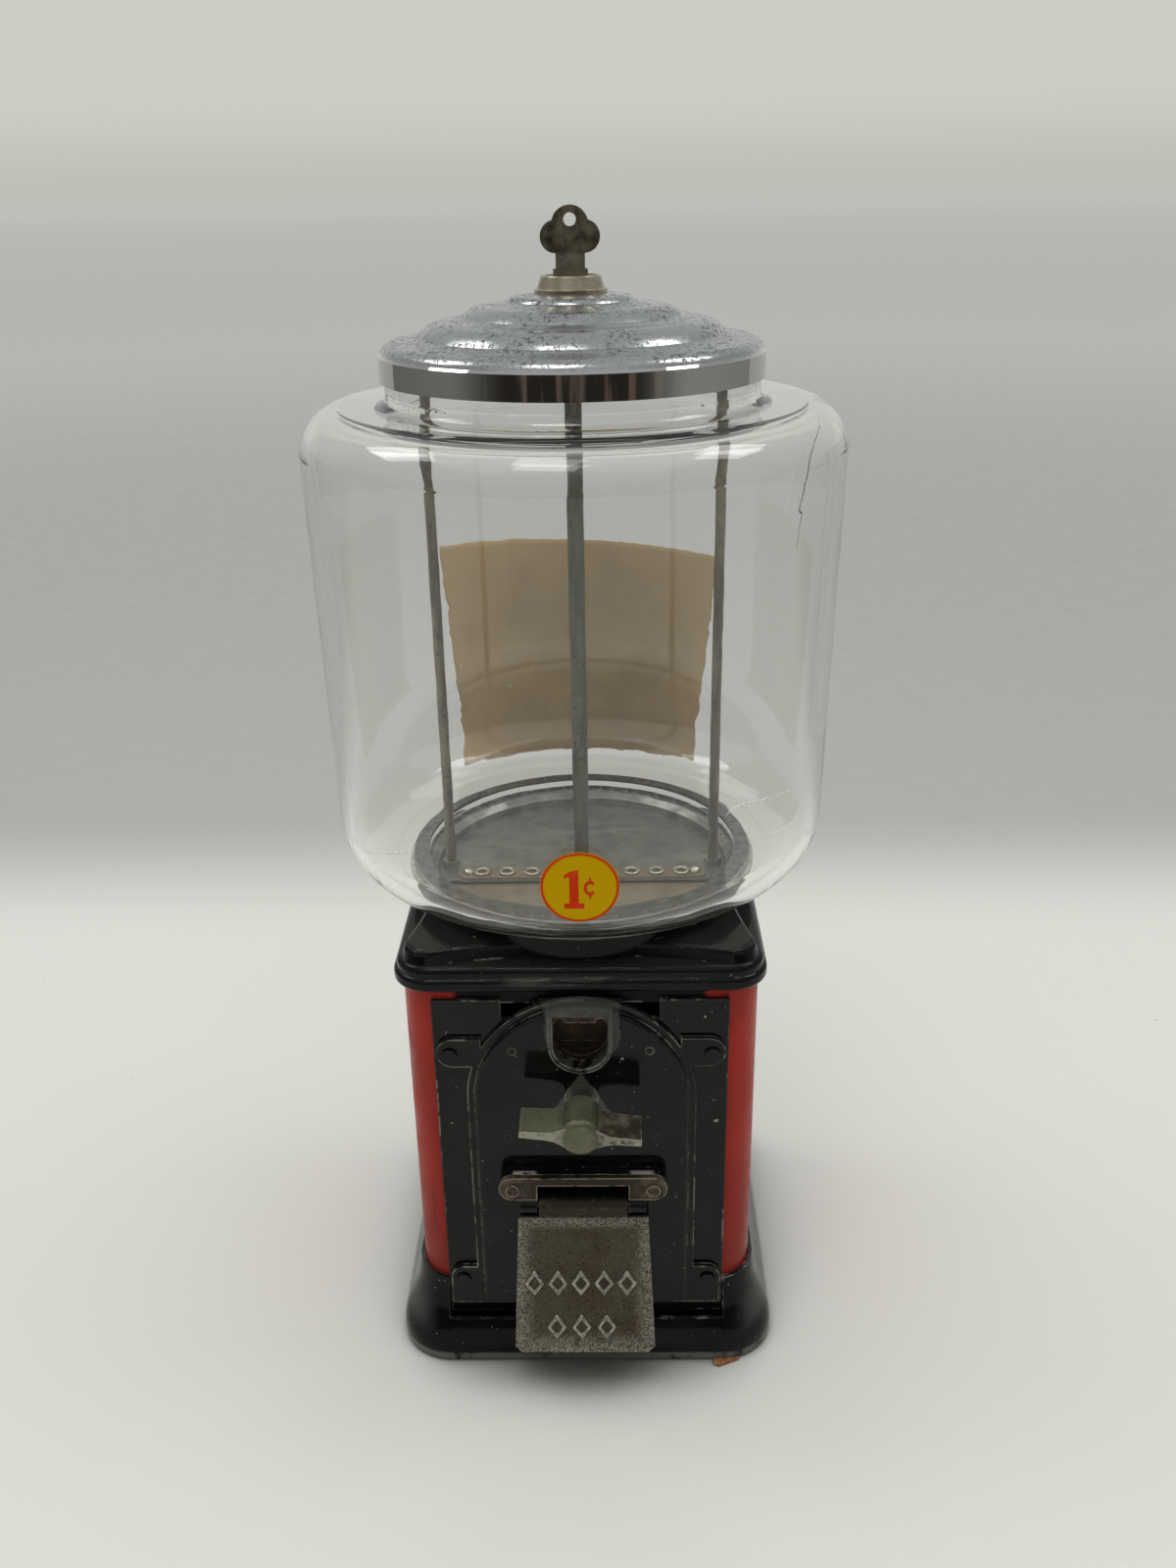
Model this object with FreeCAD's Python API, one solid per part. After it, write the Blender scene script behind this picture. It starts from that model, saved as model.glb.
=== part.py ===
import FreeCAD, Part
import math
import os

os.makedirs("parts", exist_ok=True)

# Fits
press_gap = 0.02
run_gap = 0.05
free_gap = 0.4

# Base
pad_thick = 0.8
pad_inset = 3.0
pad_tongue_x = 51.0
pad_tongue_width = 14.0
pad_tongue_reach = 6.5
pan_half = 75.4
pan_corner = 21.0
pan_top_half = 67.5
pan_top_corner = 17.5
pan_height = 34.2
pan_wall = 1.5
pan_flange = 1.4
pan_flange_width = 14.0
pan_notch_depth = 16.5
floor_thick = 1.6
floor_inset = 4.5

# Body
body_half = 65.7
body_corner = 16.0
body_wall = 1.2
body_height = 168.2
body_window_half = 36.0
body_window_low = 20.0
body_window_high = 163.0

# Front plate
plate_half = 54.0
plate_thick = 1.6
plate_low = 19.0
plate_high = 165.0
plate_notch_half = 28.8
plate_notch_floor = 157.0

# Crank line and arch
arch_z = 124.0
crank_rise = 2.4
arch_r = 42.5
arch_low = 25.0
arch_thick = 2.0
panel_r = 39.7
panel_inset_low = 2.5
panel_thick = 2.7
panel_round = 1.1
ear_reach = 53.0
ear_upper_z = 143.5
ear_upper_half = 6.0
ear_lower_high = 43.0
ear_lower_round = 5.0
ear_rivet_x = 48.2
ear_rivet_upper_z = 142.6
ear_rivet_lower_z = 36.8
rivet_shank_r = 1.5
rivet_head_r = 3.0
rivet_head_thick = 1.0

# Coin entry
coin_half = 10.0
coin_clear = 1.5
coin_u_z = 149.5
coin_top_z = 162.0
coin_rim = 1.7
coin_rim_thick = 2.0
guard_low = 155.2
guard_high = 165.5
guard_half = 15.0
guard_thick = 1.2
guard_notch_x = 7.4
guard_notch_r = 1.9
backstop_half = 11.0
backstop_thick = 1.0
backstop_low = 143.0
backstop_rise = 5.0
backstop_tab = 3.5

# Chute
chute_window_half = 17.0
chute_window_low = 30.0
chute_window_high = 80.0
chute_half = 12.0
chute_wall = 1.2
chute_depth = 17.0
chute_back_y = 54.0
chute_back_z = 100.0
chute_front_z = 42.0
chute_bend_y = -58.0
chute_lip = 9.0
chute_flange_width = 5.0
drop_y = 41.0
drop_r = 9.5
drop_wall = 1.0
drop_low = 119.0

# Door and hinge
hinge_out = 4.3
hinge_z = 80.2
hinge_pin_r = 1.5
hinge_barrel_r = 3.6
lug_inner_x = 17.4
lug_width = 6.3
boss_end_x = 26.5
boss_end_r = 5.1
boss_z = 89.1
boss_depth = 4.3
bar_low = 90.6
bar_thick = 2.5
bar_rivet_r = 2.6
bar_rivet_head = 0.7
bar_rivet_drop = 0.4
door_top_half = 24.5
door_low_half = 27.0
door_top_z = 77.3
door_low_z = 19.5
door_top_out = 8.6
door_low_out = 18.0
door_thick = 2.5
door_wall = 2.2
door_tab_half = 16.6
door_round = 2.6
door_back = 3.2

# Handle
handle_half = 21.7
handle_depth = 15.9
handle_tip_thick = 2.6
handle_root_thick = 5.4
handle_hub_r = 7.3
handle_gap = 8.2
neck_cone_r = 6.2
handle_nose = 2.2
handle_cap = 5.0
handle_turn = 5.2
shaft_r = 4.0
shaft_back_y = -20.0
bush_wall = 1.4
bush_flange = 0.8
bush_flange_thick = 1.2
grub_r = 1.5

# Mechanism
coin_wheel_r = 30.0
coin_wheel_thick = 3.8
coin_wheel_gap = 0.9
wheel_hub_r = 8.0
ratchet_r = 20.0
ratchet_depth = 2.4
ratchet_teeth = 24
ratchet_thick = 3.0
ratchet_step = 3.0
pawl_x = -17.0
pawl_up = 26.0
pawl_lift = 0.15
pawl_pin_r = 2.0
pawl_spring_wall = 1.2
pawl_boss_r = 4.0
frame_front_y = -37.0
frame_thick = 1.5
frame_half = 32.0
frame_low = 98.0
frame_high = 153.0
post_upper_x = 25.0
post_upper_z = 146.2
post_lower_x = 28.0
post_lower_z = 107.5
post_r = 1.8
post_shank_r = 1.3
gear_module = 1.0
pinion_teeth = 12
crown_teeth = 48
gear_face = 5.0
crown_disc = 2.8
crown_hub_r = 7.0
crown_hub_drop = 2.0

# Cap
cap_half = 68.3
cap_corner = 14.0
cap_wall = 1.5
cap_grip = 3.5
cap_bead = 5.4
cap_bead_round = 1.8
cap_step = 1.2
cap_step_round = 2.4
cap_rise = 9.5
pad_corner = 65.0
pad_side = 58.0
pad_cut = 9.0
pad_taper = 2.8
pad_rise = 5.0
seat_r = 61.2
seat_flare = 0.8
seat_round = 0.8
seat_rise = 12.0
seat_width = 2.4

# Hopper and merchandise wheel
flange_r = 67.7
flange_thick = 1.5
flange_in_r = 59.5
throat_r = 57.0
throat_drop = 2.0
bowl_r = 55.8
bowl_wall = 1.2
ledge_drop = 5.0
bowl_depth = 18.5
strike_thick = 1.0
strike_chord = -12.0
strip_width = 8.0
strip_half = 39.0
strip_thick = 0.8
eyelet_r = 3.3
eyelet_hole_r = 1.7
eyelet_count = 8
eyelet_rise = 0.7
strike_rivet_x = 44.5
strike_rivet_r = 2.2
wheel_gap = 0.5
wheel_floor_gap = 1.5
wheel_top_gap = 1.0
pocket_half = 9.0
pocket_floor = 31.5
pocket_count = 4
drop_hole_r = 9.3

# Rods
rod_r = 3.0
rod_low = 104.0
rod_top_drop = 8.8
tie_x = 52.0
tie_r = 1.9
bracket_half_width = 9.0
bracket_thick = 2.5
bracket_z = 112.0
bracket_tab = 10.0
nut_big_r = 5.6
nut_big_thick = 5.0
nut_thin_thick = 2.4
nut_small_r = 3.6
nut_small_thick = 3.0
cross_pin_r = 1.0
cross_pin_half = 4.5
cross_pin_drop = 2.0

# Globe
gasket_thick = 0.8
globe_foot_in = 60.0
globe_foot_out = 66.0
globe_low_r = 92.25
globe_high_r = 94.9
globe_bottom_z = 195.5
globe_low_round = 20.7
globe_shoulder_z = 366.1
globe_high_round = 14.4
globe_wall = 4.0
globe_floor_fall = 1.5
globe_foot_bend = 0.8
neck_r = 64.5
neck_wall = 5.0
neck_round = 4.0
neck_rim_z = 379.0

# Lid and lock
bridge_half = 62.5
bridge_width = 14.0
bridge_thick = 2.0
lid_gasket_thick = 2.5
lid_r = 66.0
lid_overlap = 4.8
lid_skirt = 8.1
lid_skirt_gap = 0.4
lid_wall = 1.4
lid_height = 26.6
lid_edge = 0.8
tier_1_foot_r = 60.8
tier_1_foot_drop = 14.5
tier_1_top_r = 52.75
tier_1_top_drop = 12.8
tier_2_foot_r = 43.7
tier_2_foot_drop = 8.0
tier_2_top_r = 37.7
tier_2_top_drop = 6.9
tier_3_foot_r = 29.5
tier_3_foot_drop = 3.5
tier_3_top_r = 21.5
tier_3_top_drop = 2.2
button_r = 18.4
button_drop = 0.6
button_flat_r = 14.0
rim_swell = 0.9
tier_swell = 1.1
tier_dip = 0.25
button_swell = 0.45
collar_r = 12.3
collar_flange = 1.2
collar_cone_r = 11.4
collar_top_r = 10.2
collar_lip = 1.3
collar_recess = 0.9
collar_height = 5.6
barrel_r = 8.0
barrel_drop = 14.8
plug_r = 5.8
plug_head_r = 6.6
plug_head_thick = 1.4
plug_cup_r = 5.0
plug_cup_drop = 7.2
tail_r = 7.2
tail_thick = 2.0
lock_nut_r = 11.5
lock_nut_thick = 5.0
key_thick = 2.0
key_blade_half = 4.0
key_blade_reach = 10.4
key_neck_half = 4.9
key_stop = 0.9
key_stop_high = 2.0
key_bow_rise = 13.6
key_bow_half = 10.0
key_hole_r = 2.1
key_hole_rise = 17.2

# Labels
sticker_r = 13.0
sticker_x = 1.5
sticker_z = 224.0
paper = 0.25
paper_gap = 0.12
label_half_top = 59.0
label_half_low = 49.0
label_low = 203.0
label_high = 295.0
label_x = -1.5
label_tilt = 3.0

# Levels that follow from the sizes above
pan_z = pad_thick
floor_z = pan_z + pan_flange
body_z = floor_z + floor_thick
body_top = body_z + body_height
cap_low = body_top - cap_grip
cap_shelf = cap_low + cap_rise
seat_z = cap_shelf + seat_rise
ledge_z = seat_z - ledge_drop
bowl_floor_z = ledge_z - bowl_depth
pan_top = pan_z + pan_height
pan_notch_z = pan_top - pan_notch_depth
crank_z = arch_z + crank_rise
body_front = -body_half
plate_front = body_front - plate_thick
arch_front = plate_front - arch_thick
panel_front = arch_front - panel_thick
rim_front = panel_front - coin_rim_thick
hinge_y = panel_front - hinge_out
door_top_y = panel_front - door_top_out
door_low_y = panel_front - door_low_out
boss_front = panel_front - boss_depth
bar_front = boss_front - bar_thick
bar_rivet_z = boss_z - bar_rivet_drop
bush_r = shaft_r + run_gap + bush_wall
handle_back = panel_front - bush_flange_thick - handle_gap
handle_front = handle_back - handle_depth
shaft_front_y = handle_front + handle_cap
grub_y = (shaft_front_y + handle_back) / 2.0
coin_wheel_front = body_front + coin_wheel_gap
coin_wheel_back = coin_wheel_front + coin_wheel_thick
ratchet_front = coin_wheel_back + ratchet_step
ratchet_back = ratchet_front + ratchet_thick
frame_back_y = frame_front_y + frame_thick
pinion_pitch = gear_module * pinion_teeth / 2.0
crown_pitch = gear_module * crown_teeth / 2.0
mesh_z = crank_z + pinion_pitch
crown_tip_z = mesh_z - 1.1 * gear_module
crown_root_z = mesh_z + 1.2 * gear_module
crown_top_z = crown_root_z + crown_disc
crown_hub_z = mesh_z - crown_hub_drop
bowl_under = bowl_floor_z - bowl_wall
wheel_low = bowl_floor_z + wheel_floor_gap
wheel_high = ledge_z - wheel_top_gap
wheel_r = bowl_r - wheel_gap
strike_top = ledge_z + strike_thick
strip_top = strike_top + strip_thick
cap_hole_r = seat_r - seat_width
flange_z = seat_z + flange_thick
throat_z = flange_z - throat_drop
globe_foot_z = flange_z + gasket_thick
bridge_top = neck_rim_z + bridge_thick
lid_seat_z = neck_rim_z + lid_gasket_thick
lid_low = neck_rim_z - lid_overlap
lid_rim_z = lid_low + lid_skirt
lid_top_z = lid_low + lid_height
collar_top_z = lid_top_z + collar_height
plug_face_z = collar_top_z - collar_recess
barrel_low = lid_top_z - barrel_drop
plug_cup_high = lid_top_z - plug_cup_drop
key_blade_low = collar_top_z - key_blade_reach
key_bow_z = collar_top_z + key_bow_rise
key_hole_z = collar_top_z + key_hole_rise
rod_top_z = lid_top_z - rod_top_drop
cross_pin_z = rod_top_z - cross_pin_drop
neck_in = neck_r - neck_wall
bracket_top = bracket_z + bracket_thick

X = FreeCAD.Vector(1, 0, 0)
Y = FreeCAD.Vector(0, 1, 0)
Z = FreeCAD.Vector(0, 0, 1)


def vec(x, y, z):
    return FreeCAD.Vector(x, y, z)


def save(name, shape):
    shape.exportStep("parts/" + name + ".step")


def block(x0, x1, y0, y1, z0, z1):
    return Part.makeBox(x1 - x0, y1 - y0, z1 - z0, vec(x0, y0, z0))


def rod_x(r, x0, x1, y, z):
    return Part.makeCylinder(r, x1 - x0, vec(x0, y, z), X)


def rod_y(r, y0, y1, x, z):
    return Part.makeCylinder(r, y1 - y0, vec(x, y0, z), Y)


def rod_z(r, z0, z1, x=0.0, y=0.0):
    return Part.makeCylinder(r, z1 - z0, vec(x, y, z0), Z)


def turned(points):
    """A solid turned about Z from (radius, height) points."""
    corners = [vec(r, 0, z) for r, z in points]
    face = Part.Face(Part.makePolygon(corners + corners[:1]))
    return face.revolve(vec(0, 0, 0), Z, 360)


def turned_edges(edges):
    face = Part.Face(Part.Wire(edges))
    return face.revolve(vec(0, 0, 0), Z, 360)


def ring(r_in, r_out, z0, z1, x=0.0, y=0.0):
    return rod_z(r_out, z0, z1, x, y).cut(rod_z(r_in, z0 - 1, z1 + 1, x, y))


def tube_y(r_in, r_out, y0, y1, x, z):
    return rod_y(r_out, y0, y1, x, z).cut(rod_y(r_in, y0 - 1, y1 + 1, x, z))


def square_wire(half, corner, z):
    """A rounded square about the machine's axis."""
    inner = half - corner
    lean = corner * math.sqrt(0.5)
    edges = []
    for turn in range(4):
        a = math.radians(90 * turn)
        cos_a = math.cos(a)
        sin_a = math.sin(a)

        def place(x, y):
            return vec(x * cos_a - y * sin_a, x * sin_a + y * cos_a, z)

        edges.append(Part.LineSegment(place(half, -inner), place(half, inner)).toShape())
        middle = place(inner + lean, inner + lean)
        edges.append(Part.Arc(place(half, inner), middle, place(inner, half)).toShape())
    return Part.Wire(edges)


def square_block(half, corner, z0, z1):
    return Part.Face(square_wire(half, corner, z0)).extrude(vec(0, 0, z1 - z0))


def front_shape(points, y0, y1):
    """A solid pushed along Y from (x, z) points."""
    corners = [vec(x, y0, z) for x, z in points]
    return Part.Face(Part.makePolygon(corners + corners[:1])).extrude(vec(0, y1 - y0, 0))


def side_shape(points, x0, x1):
    """A solid pushed along X from (y, z) points."""
    corners = [vec(x0, y, z) for y, z in points]
    return Part.Face(Part.makePolygon(corners + corners[:1])).extrude(vec(x1 - x0, 0, 0))


def arch_shape(r, low, y0, y1):
    """An arched panel with a round head, standing on a straight lower edge."""
    a = vec(-r, y0, low)
    b = vec(-r, y0, arch_z)
    top = vec(0, y0, arch_z + r)
    c = vec(r, y0, arch_z)
    d = vec(r, y0, low)
    edges = [
        Part.LineSegment(a, b).toShape(),
        Part.Arc(b, top, c).toShape(),
        Part.LineSegment(c, d).toShape(),
        Part.LineSegment(d, a).toShape(),
    ]
    return Part.Face(Part.Wire(edges)).extrude(vec(0, y1 - y0, 0))


def hex_nut(r, bore, z0, z1, x=0.0, y=0.0):
    corners = []
    for i in range(6):
        a = math.radians(60 * i)
        corners.append(vec(x + r * math.cos(a), y + r * math.sin(a), z0))
    body = Part.Face(Part.makePolygon(corners + corners[:1])).extrude(vec(0, 0, z1 - z0))
    return body.cut(rod_z(bore, z0 - 1, z1 + 1, x, y))


def u_shape(half, z_round, z_top, y0, y1):
    """A slot with a half-round foot."""
    foot = rod_y(half, y0, y1, 0, z_round)
    return foot.fuse(block(-half, half, y0, y1, z_round, z_top)).removeSplitter()


def base_pad():
    half = pan_half - pad_inset
    pad = square_block(half, pan_corner - pad_inset, 0, pad_thick)
    end_y = -half - pad_tongue_reach
    tongue = [
        vec(pad_tongue_x, -half + 8.0, 0),
        vec(pad_tongue_x, end_y + 1.0, 0),
        vec(pad_tongue_x + 2.0, end_y, 0),
        vec(pad_tongue_x + pad_tongue_width * 0.7, end_y + 3.4, 0),
        vec(pad_tongue_x + pad_tongue_width, -half + 8.0, 0),
    ]
    face = Part.Face(Part.makePolygon(tongue + tongue[:1]))
    return pad.fuse(face.extrude(vec(0, 0, pad_thick))).removeSplitter()


def pan_loft(inset, z0, z1):
    """The flared skirt, from its rolled foot to its collar."""
    flare = pan_half - pan_top_half
    levels = [(0.0, 0.98), (0.10, 1.0), (0.24, 0.95), (0.5, 0.55), (0.76, 0.16), (1.0, 0.0)]
    wires = []
    for share, spread in levels:
        half = pan_top_half + flare * spread - inset
        corner = pan_top_corner + (pan_corner - pan_top_corner) * spread - inset
        wires.append(square_wire(half, corner, z0 + (z1 - z0) * share))
    return Part.makeLoft(wires, True, False)


def base_pan():
    skirt = pan_loft(0.0, pan_z, pan_top)
    skirt = skirt.cut(pan_loft(pan_wall, floor_z, pan_top + 0.01))
    opening = pan_half - pan_flange_width
    skirt = skirt.cut(square_block(opening, pan_corner - 6.0, pan_z - 1, floor_z + 1))
    notch = plate_half + free_gap
    return skirt.cut(block(-notch, notch, -pan_half - 5, 0, pan_notch_z, pan_top + 1))


def bottom_plate():
    return square_block(pan_half - floor_inset, pan_corner - floor_inset, floor_z, body_z)


def body_shell():
    tube = square_block(body_half, body_corner, body_z, body_top)
    inner = square_block(body_half - body_wall, body_corner - body_wall, body_z - 1, body_top + 1)
    tube = tube.cut(inner)
    half = body_window_half
    window = block(-half, half, -body_half - 1, 0, body_window_low, body_window_high)
    return tube.cut(window)


def post_places():
    return [
        (-post_upper_x, post_upper_z),
        (post_upper_x, post_upper_z),
        (-post_lower_x, post_lower_z),
        (post_lower_x, post_lower_z),
    ]


def rivet_places():
    return [
        (-ear_rivet_x, ear_rivet_upper_z),
        (ear_rivet_x, ear_rivet_upper_z),
        (-ear_rivet_x, ear_rivet_lower_z),
        (ear_rivet_x, ear_rivet_lower_z),
    ]


def front_holes(y0, y1):
    """The holes that the front plate and the arch plate share."""
    holes = [rod_y(bush_r + press_gap, y0, y1, 0, crank_z)]
    holes.append(block(-chute_window_half, chute_window_half, y0, y1, chute_window_low, chute_window_high))
    for x, z in post_places():
        holes.append(rod_y(post_shank_r + press_gap, y0, y1, x, z))
    for x, z in rivet_places():
        holes.append(rod_y(rivet_shank_r + press_gap, y0, y1, x, z))
    return Part.makeCompound(holes)


def front_plate():
    plate = block(-plate_half, plate_half, plate_front, body_front, plate_low, plate_high)
    half = plate_notch_half
    y0 = plate_front - 1
    y1 = body_front + 1
    notch = block(-half, half, y0, y1, plate_notch_floor, plate_high + 1)
    coin = u_shape(coin_half + coin_clear, coin_u_z, plate_high + 1, y0, y1)
    return plate.cut(notch).cut(coin).cut(front_holes(y0, y1))


def arch_plate():
    flange = arch_shape(arch_r, arch_low, arch_front, plate_front)
    for side in (-1, 1):
        near = side * (arch_r - 6.0)
        far = side * (ear_reach - ear_upper_half)
        low = ear_upper_z - ear_upper_half
        high = ear_upper_z + ear_upper_half
        ear = block(min(near, far), max(near, far), arch_front, plate_front, low, high)
        ear = ear.fuse(rod_y(ear_upper_half, arch_front, plate_front, far, ear_upper_z))
        flange = flange.fuse(ear)
        tip = side * ear_reach
        bend = side * (ear_reach - ear_lower_round)
        bend_z = ear_lower_high - ear_lower_round
        foot = block(min(near, tip), max(near, tip), arch_front, plate_front, arch_low, bend_z)
        head = block(min(near, bend), max(near, bend), arch_front, plate_front, arch_low, ear_lower_high)
        flange = flange.fuse(foot).fuse(head)
        flange = flange.fuse(rod_y(ear_lower_round, arch_front, plate_front, bend, bend_z))
    panel = arch_shape(panel_r, arch_low + panel_inset_low, panel_front, arch_front)
    front_edges = [e for e in panel.Edges if abs(e.BoundBox.YMax - panel_front) < 1e-4]
    panel = panel.makeFillet(panel_round, front_edges)
    rim = u_shape(coin_half + coin_rim, coin_u_z, arch_z + arch_r, rim_front, arch_front)
    rim = rim.common(rod_y(arch_r - 0.6, rim_front - 1, arch_front + 1, 0, arch_z))
    plate = flange.fuse(panel).fuse(rim).removeSplitter()
    plate = plate.cut(u_shape(coin_half, coin_u_z, coin_top_z, rim_front - 1, plate_front + 1))
    return plate.cut(front_holes(rim_front - 1, plate_front + 1))


def arch_rivets():
    rivets = []
    for x, z in rivet_places():
        shank = rod_y(rivet_shank_r, arch_front, body_front, x, z)
        head = rod_y(rivet_head_r, arch_front - rivet_head_thick, arch_front, x, z)
        rivets.append(shank.fuse(head).removeSplitter())
    return Part.makeCompound(rivets)


def coin_guard():
    y1 = plate_front + guard_thick
    shelf = plate_notch_floor + free_gap
    tongue = coin_half + coin_clear - free_gap
    guard = block(-guard_half, guard_half, plate_front, y1, shelf, guard_high)
    guard = guard.fuse(block(-tongue, tongue, plate_front, y1, guard_low, shelf)).removeSplitter()
    for side in (-1, 1):
        notch = rod_y(guard_notch_r, plate_front - 1, y1 + 1, side * guard_notch_x, guard_low)
        guard = guard.cut(notch)
    return guard


def coin_backstop():
    y0 = coin_wheel_back + 0.5
    wall = body_front + body_wall
    half = backstop_half
    top_z = body_window_high + backstop_rise
    leg = block(-half, half, y0, y0 + backstop_thick, backstop_low, top_z)
    top = block(-half, half, wall, y0, top_z - backstop_tab, top_z)
    return leg.fuse(top).removeSplitter()


def hinge_outline(y0, y1):
    """The dog-bone outline that the boss and its bar share."""
    top = boss_z + boss_end_r
    shape = block(-boss_end_x, boss_end_x, y0, y1, bar_low, top)
    for side in (-1, 1):
        shape = shape.fuse(rod_y(boss_end_r, y0, y1, side * boss_end_x, boss_z))
        near = side * (lug_inner_x - 0.2)
        far = side * boss_end_x
        shape = shape.fuse(block(min(near, far), max(near, far), y0, y1, boss_z - boss_end_r, top))
    return shape.removeSplitter()


def hinge_boss():
    boss = hinge_outline(boss_front, panel_front)
    for side in (-1, 1):
        inner = side * lug_inner_x
        outer = side * (lug_inner_x + lug_width)
        x0 = min(inner, outer)
        x1 = max(inner, outer)
        boss = boss.fuse(rod_x(hinge_barrel_r, x0, x1, hinge_y, hinge_z))
        boss = boss.fuse(block(x0, x1, hinge_y, panel_front, hinge_z - hinge_barrel_r, boss_z))
        x = side * boss_end_x
        hole = rod_y(rivet_shank_r + press_gap, boss_front - 1, panel_front + 1, x, bar_rivet_z)
        boss = boss.cut(hole)
    boss = boss.removeSplitter()
    reach = lug_inner_x + lug_width + 12.0
    return boss.cut(rod_x(hinge_pin_r + press_gap, -reach, reach, hinge_y, hinge_z))


def hinge_bar():
    bar = hinge_outline(bar_front, boss_front)
    for side in (-1, 1):
        hole = rod_y(rivet_shank_r + press_gap, bar_front - 1, boss_front + 1, side * boss_end_x, bar_rivet_z)
        bar = bar.cut(hole)
    return bar


def hinge_rivets():
    rivets = []
    for side in (-1, 1):
        x = side * boss_end_x
        shank = rod_y(rivet_shank_r, bar_front, panel_front, x, bar_rivet_z)
        head = rod_y(bar_rivet_r, bar_front - bar_rivet_head, bar_front, x, bar_rivet_z)
        rivets.append(shank.fuse(head).removeSplitter())
    return Part.makeCompound(rivets)


def hinge_pin():
    reach = lug_inner_x + lug_width
    return rod_x(hinge_pin_r, -reach, reach, hinge_y, hinge_z)


def chute_door():
    stop_y = panel_front - free_gap
    outline = [
        (-door_top_half, door_top_z),
        (-door_low_half, door_low_z + door_round),
        (-door_low_half + door_round, door_low_z),
        (door_low_half - door_round, door_low_z),
        (door_low_half, door_low_z + door_round),
        (door_top_half, door_top_z),
    ]
    depth = front_shape(outline, door_low_y - 5, 0)
    side = side_shape(
        [
            (door_top_y, door_top_z),
            (door_low_y, door_low_z),
            (stop_y - 3.0, door_low_z),
            (stop_y, door_low_z + 8.0),
            (stop_y, door_low_z + 13.0),
            (hinge_y - door_back, door_top_z - 6.0),
            (hinge_y - door_back, door_top_z),
        ],
        -door_low_half - 1,
        door_low_half + 1,
    )
    shell = depth.common(side)
    inner_outline = [
        (-door_top_half + door_wall, door_top_z - door_wall),
        (-door_low_half + door_wall, door_low_z + door_wall),
        (door_low_half - door_wall, door_low_z + door_wall),
        (door_top_half - door_wall, door_top_z - door_wall),
    ]
    hollow = front_shape(inner_outline, door_low_y - 5, 0)
    top_in = door_top_y + door_thick
    low_in = door_low_y + door_thick
    behind = side_shape(
        [
            (top_in, door_top_z),
            (low_in, door_low_z),
            (0, door_low_z),
            (0, door_top_z),
        ],
        -door_low_half,
        door_low_half,
    )
    shell = shell.cut(hollow.common(behind))
    barrel = rod_x(hinge_barrel_r, -door_tab_half, door_tab_half, hinge_y, hinge_z)
    neck = side_shape(
        [
            (hinge_y - hinge_barrel_r, hinge_z),
            (door_top_y + 0.4, door_top_z),
            (hinge_y - 2.0, door_top_z),
            (hinge_y + 1.0, hinge_z - 2.0),
        ],
        -door_tab_half,
        door_tab_half,
    )
    door = shell.fuse(barrel).fuse(neck).removeSplitter()
    reach = door_low_half + 1.0
    return door.cut(rod_x(hinge_pin_r + run_gap, -reach, reach, hinge_y, hinge_z))


def handle():
    half_tip = handle_tip_thick / 2.0
    half_root = handle_root_thick / 2.0
    y0 = handle_front
    y1 = handle_back - 1.5
    wing = [
        (handle_half, half_tip),
        (handle_half * 0.62, half_tip + 0.25),
        (handle_hub_r + 2.0, half_root - 0.6),
        (handle_hub_r - 1.0, half_root + 0.8),
        (0.0, handle_hub_r - 1.0),
    ]
    points = [(x, crank_z + z) for x, z in wing]
    points += [(-x, crank_z + z) for x, z in reversed(wing[:-1])]
    points += [(-x, crank_z - z) for x, z in wing[:-1]]
    points += [(x, crank_z - z) for x, z in reversed(wing)]
    blade = front_shape(points, y0 + 0.6, y1)
    hub = rod_y(handle_hub_r, y0, handle_back, 0, crank_z)
    front = [e for e in hub.Edges if abs(e.BoundBox.YMax - y0) < 1e-4 and e.BoundBox.XLength > 1]
    hub = hub.makeFillet(handle_nose, front)
    shape = blade.fuse(hub).removeSplitter()
    shape = shape.cut(rod_y(shaft_r + press_gap, shaft_front_y, handle_back + 1, 0, crank_z))
    shape = shape.cut(rod_z(grub_r + press_gap, crank_z - handle_hub_r - 1, crank_z, 0, grub_y))
    shape.rotate(vec(0, 0, crank_z), Y, handle_turn)
    return shape


def handle_screw():
    screw = rod_z(grub_r, crank_z - handle_hub_r + 0.2, crank_z, 0, grub_y)
    screw = screw.cut(rod_y(shaft_r, grub_y - 5, grub_y + 5, 0, crank_z))
    screw.rotate(vec(0, 0, crank_z), Y, handle_turn)
    return screw


def handle_shaft():
    shaft = rod_y(shaft_r, shaft_front_y, shaft_back_y, 0, crank_z)
    reach = panel_front - bush_flange_thick - free_gap - handle_back
    cone = Part.makeCone(neck_cone_r, shaft_r, reach, vec(0, handle_back, crank_z), Y)
    return shaft.fuse(cone).removeSplitter()


def front_bush():
    sleeve = rod_y(bush_r, panel_front, body_front + 0.4, 0, crank_z)
    flange = rod_y(bush_r + bush_flange, panel_front - bush_flange_thick, panel_front, 0, crank_z)
    bush = sleeve.fuse(flange).removeSplitter()
    return bush.cut(rod_y(shaft_r + run_gap, panel_front - 9, body_front + 9, 0, crank_z))


def rear_bush():
    sleeve = rod_y(bush_r, frame_front_y, frame_back_y + 3.0, 0, crank_z)
    flange = rod_y(bush_r + bush_flange, frame_front_y - bush_flange_thick, frame_front_y, 0, crank_z)
    bush = sleeve.fuse(flange).removeSplitter()
    return bush.cut(rod_y(shaft_r + run_gap, frame_front_y - 9, frame_back_y + 9, 0, crank_z))


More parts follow.
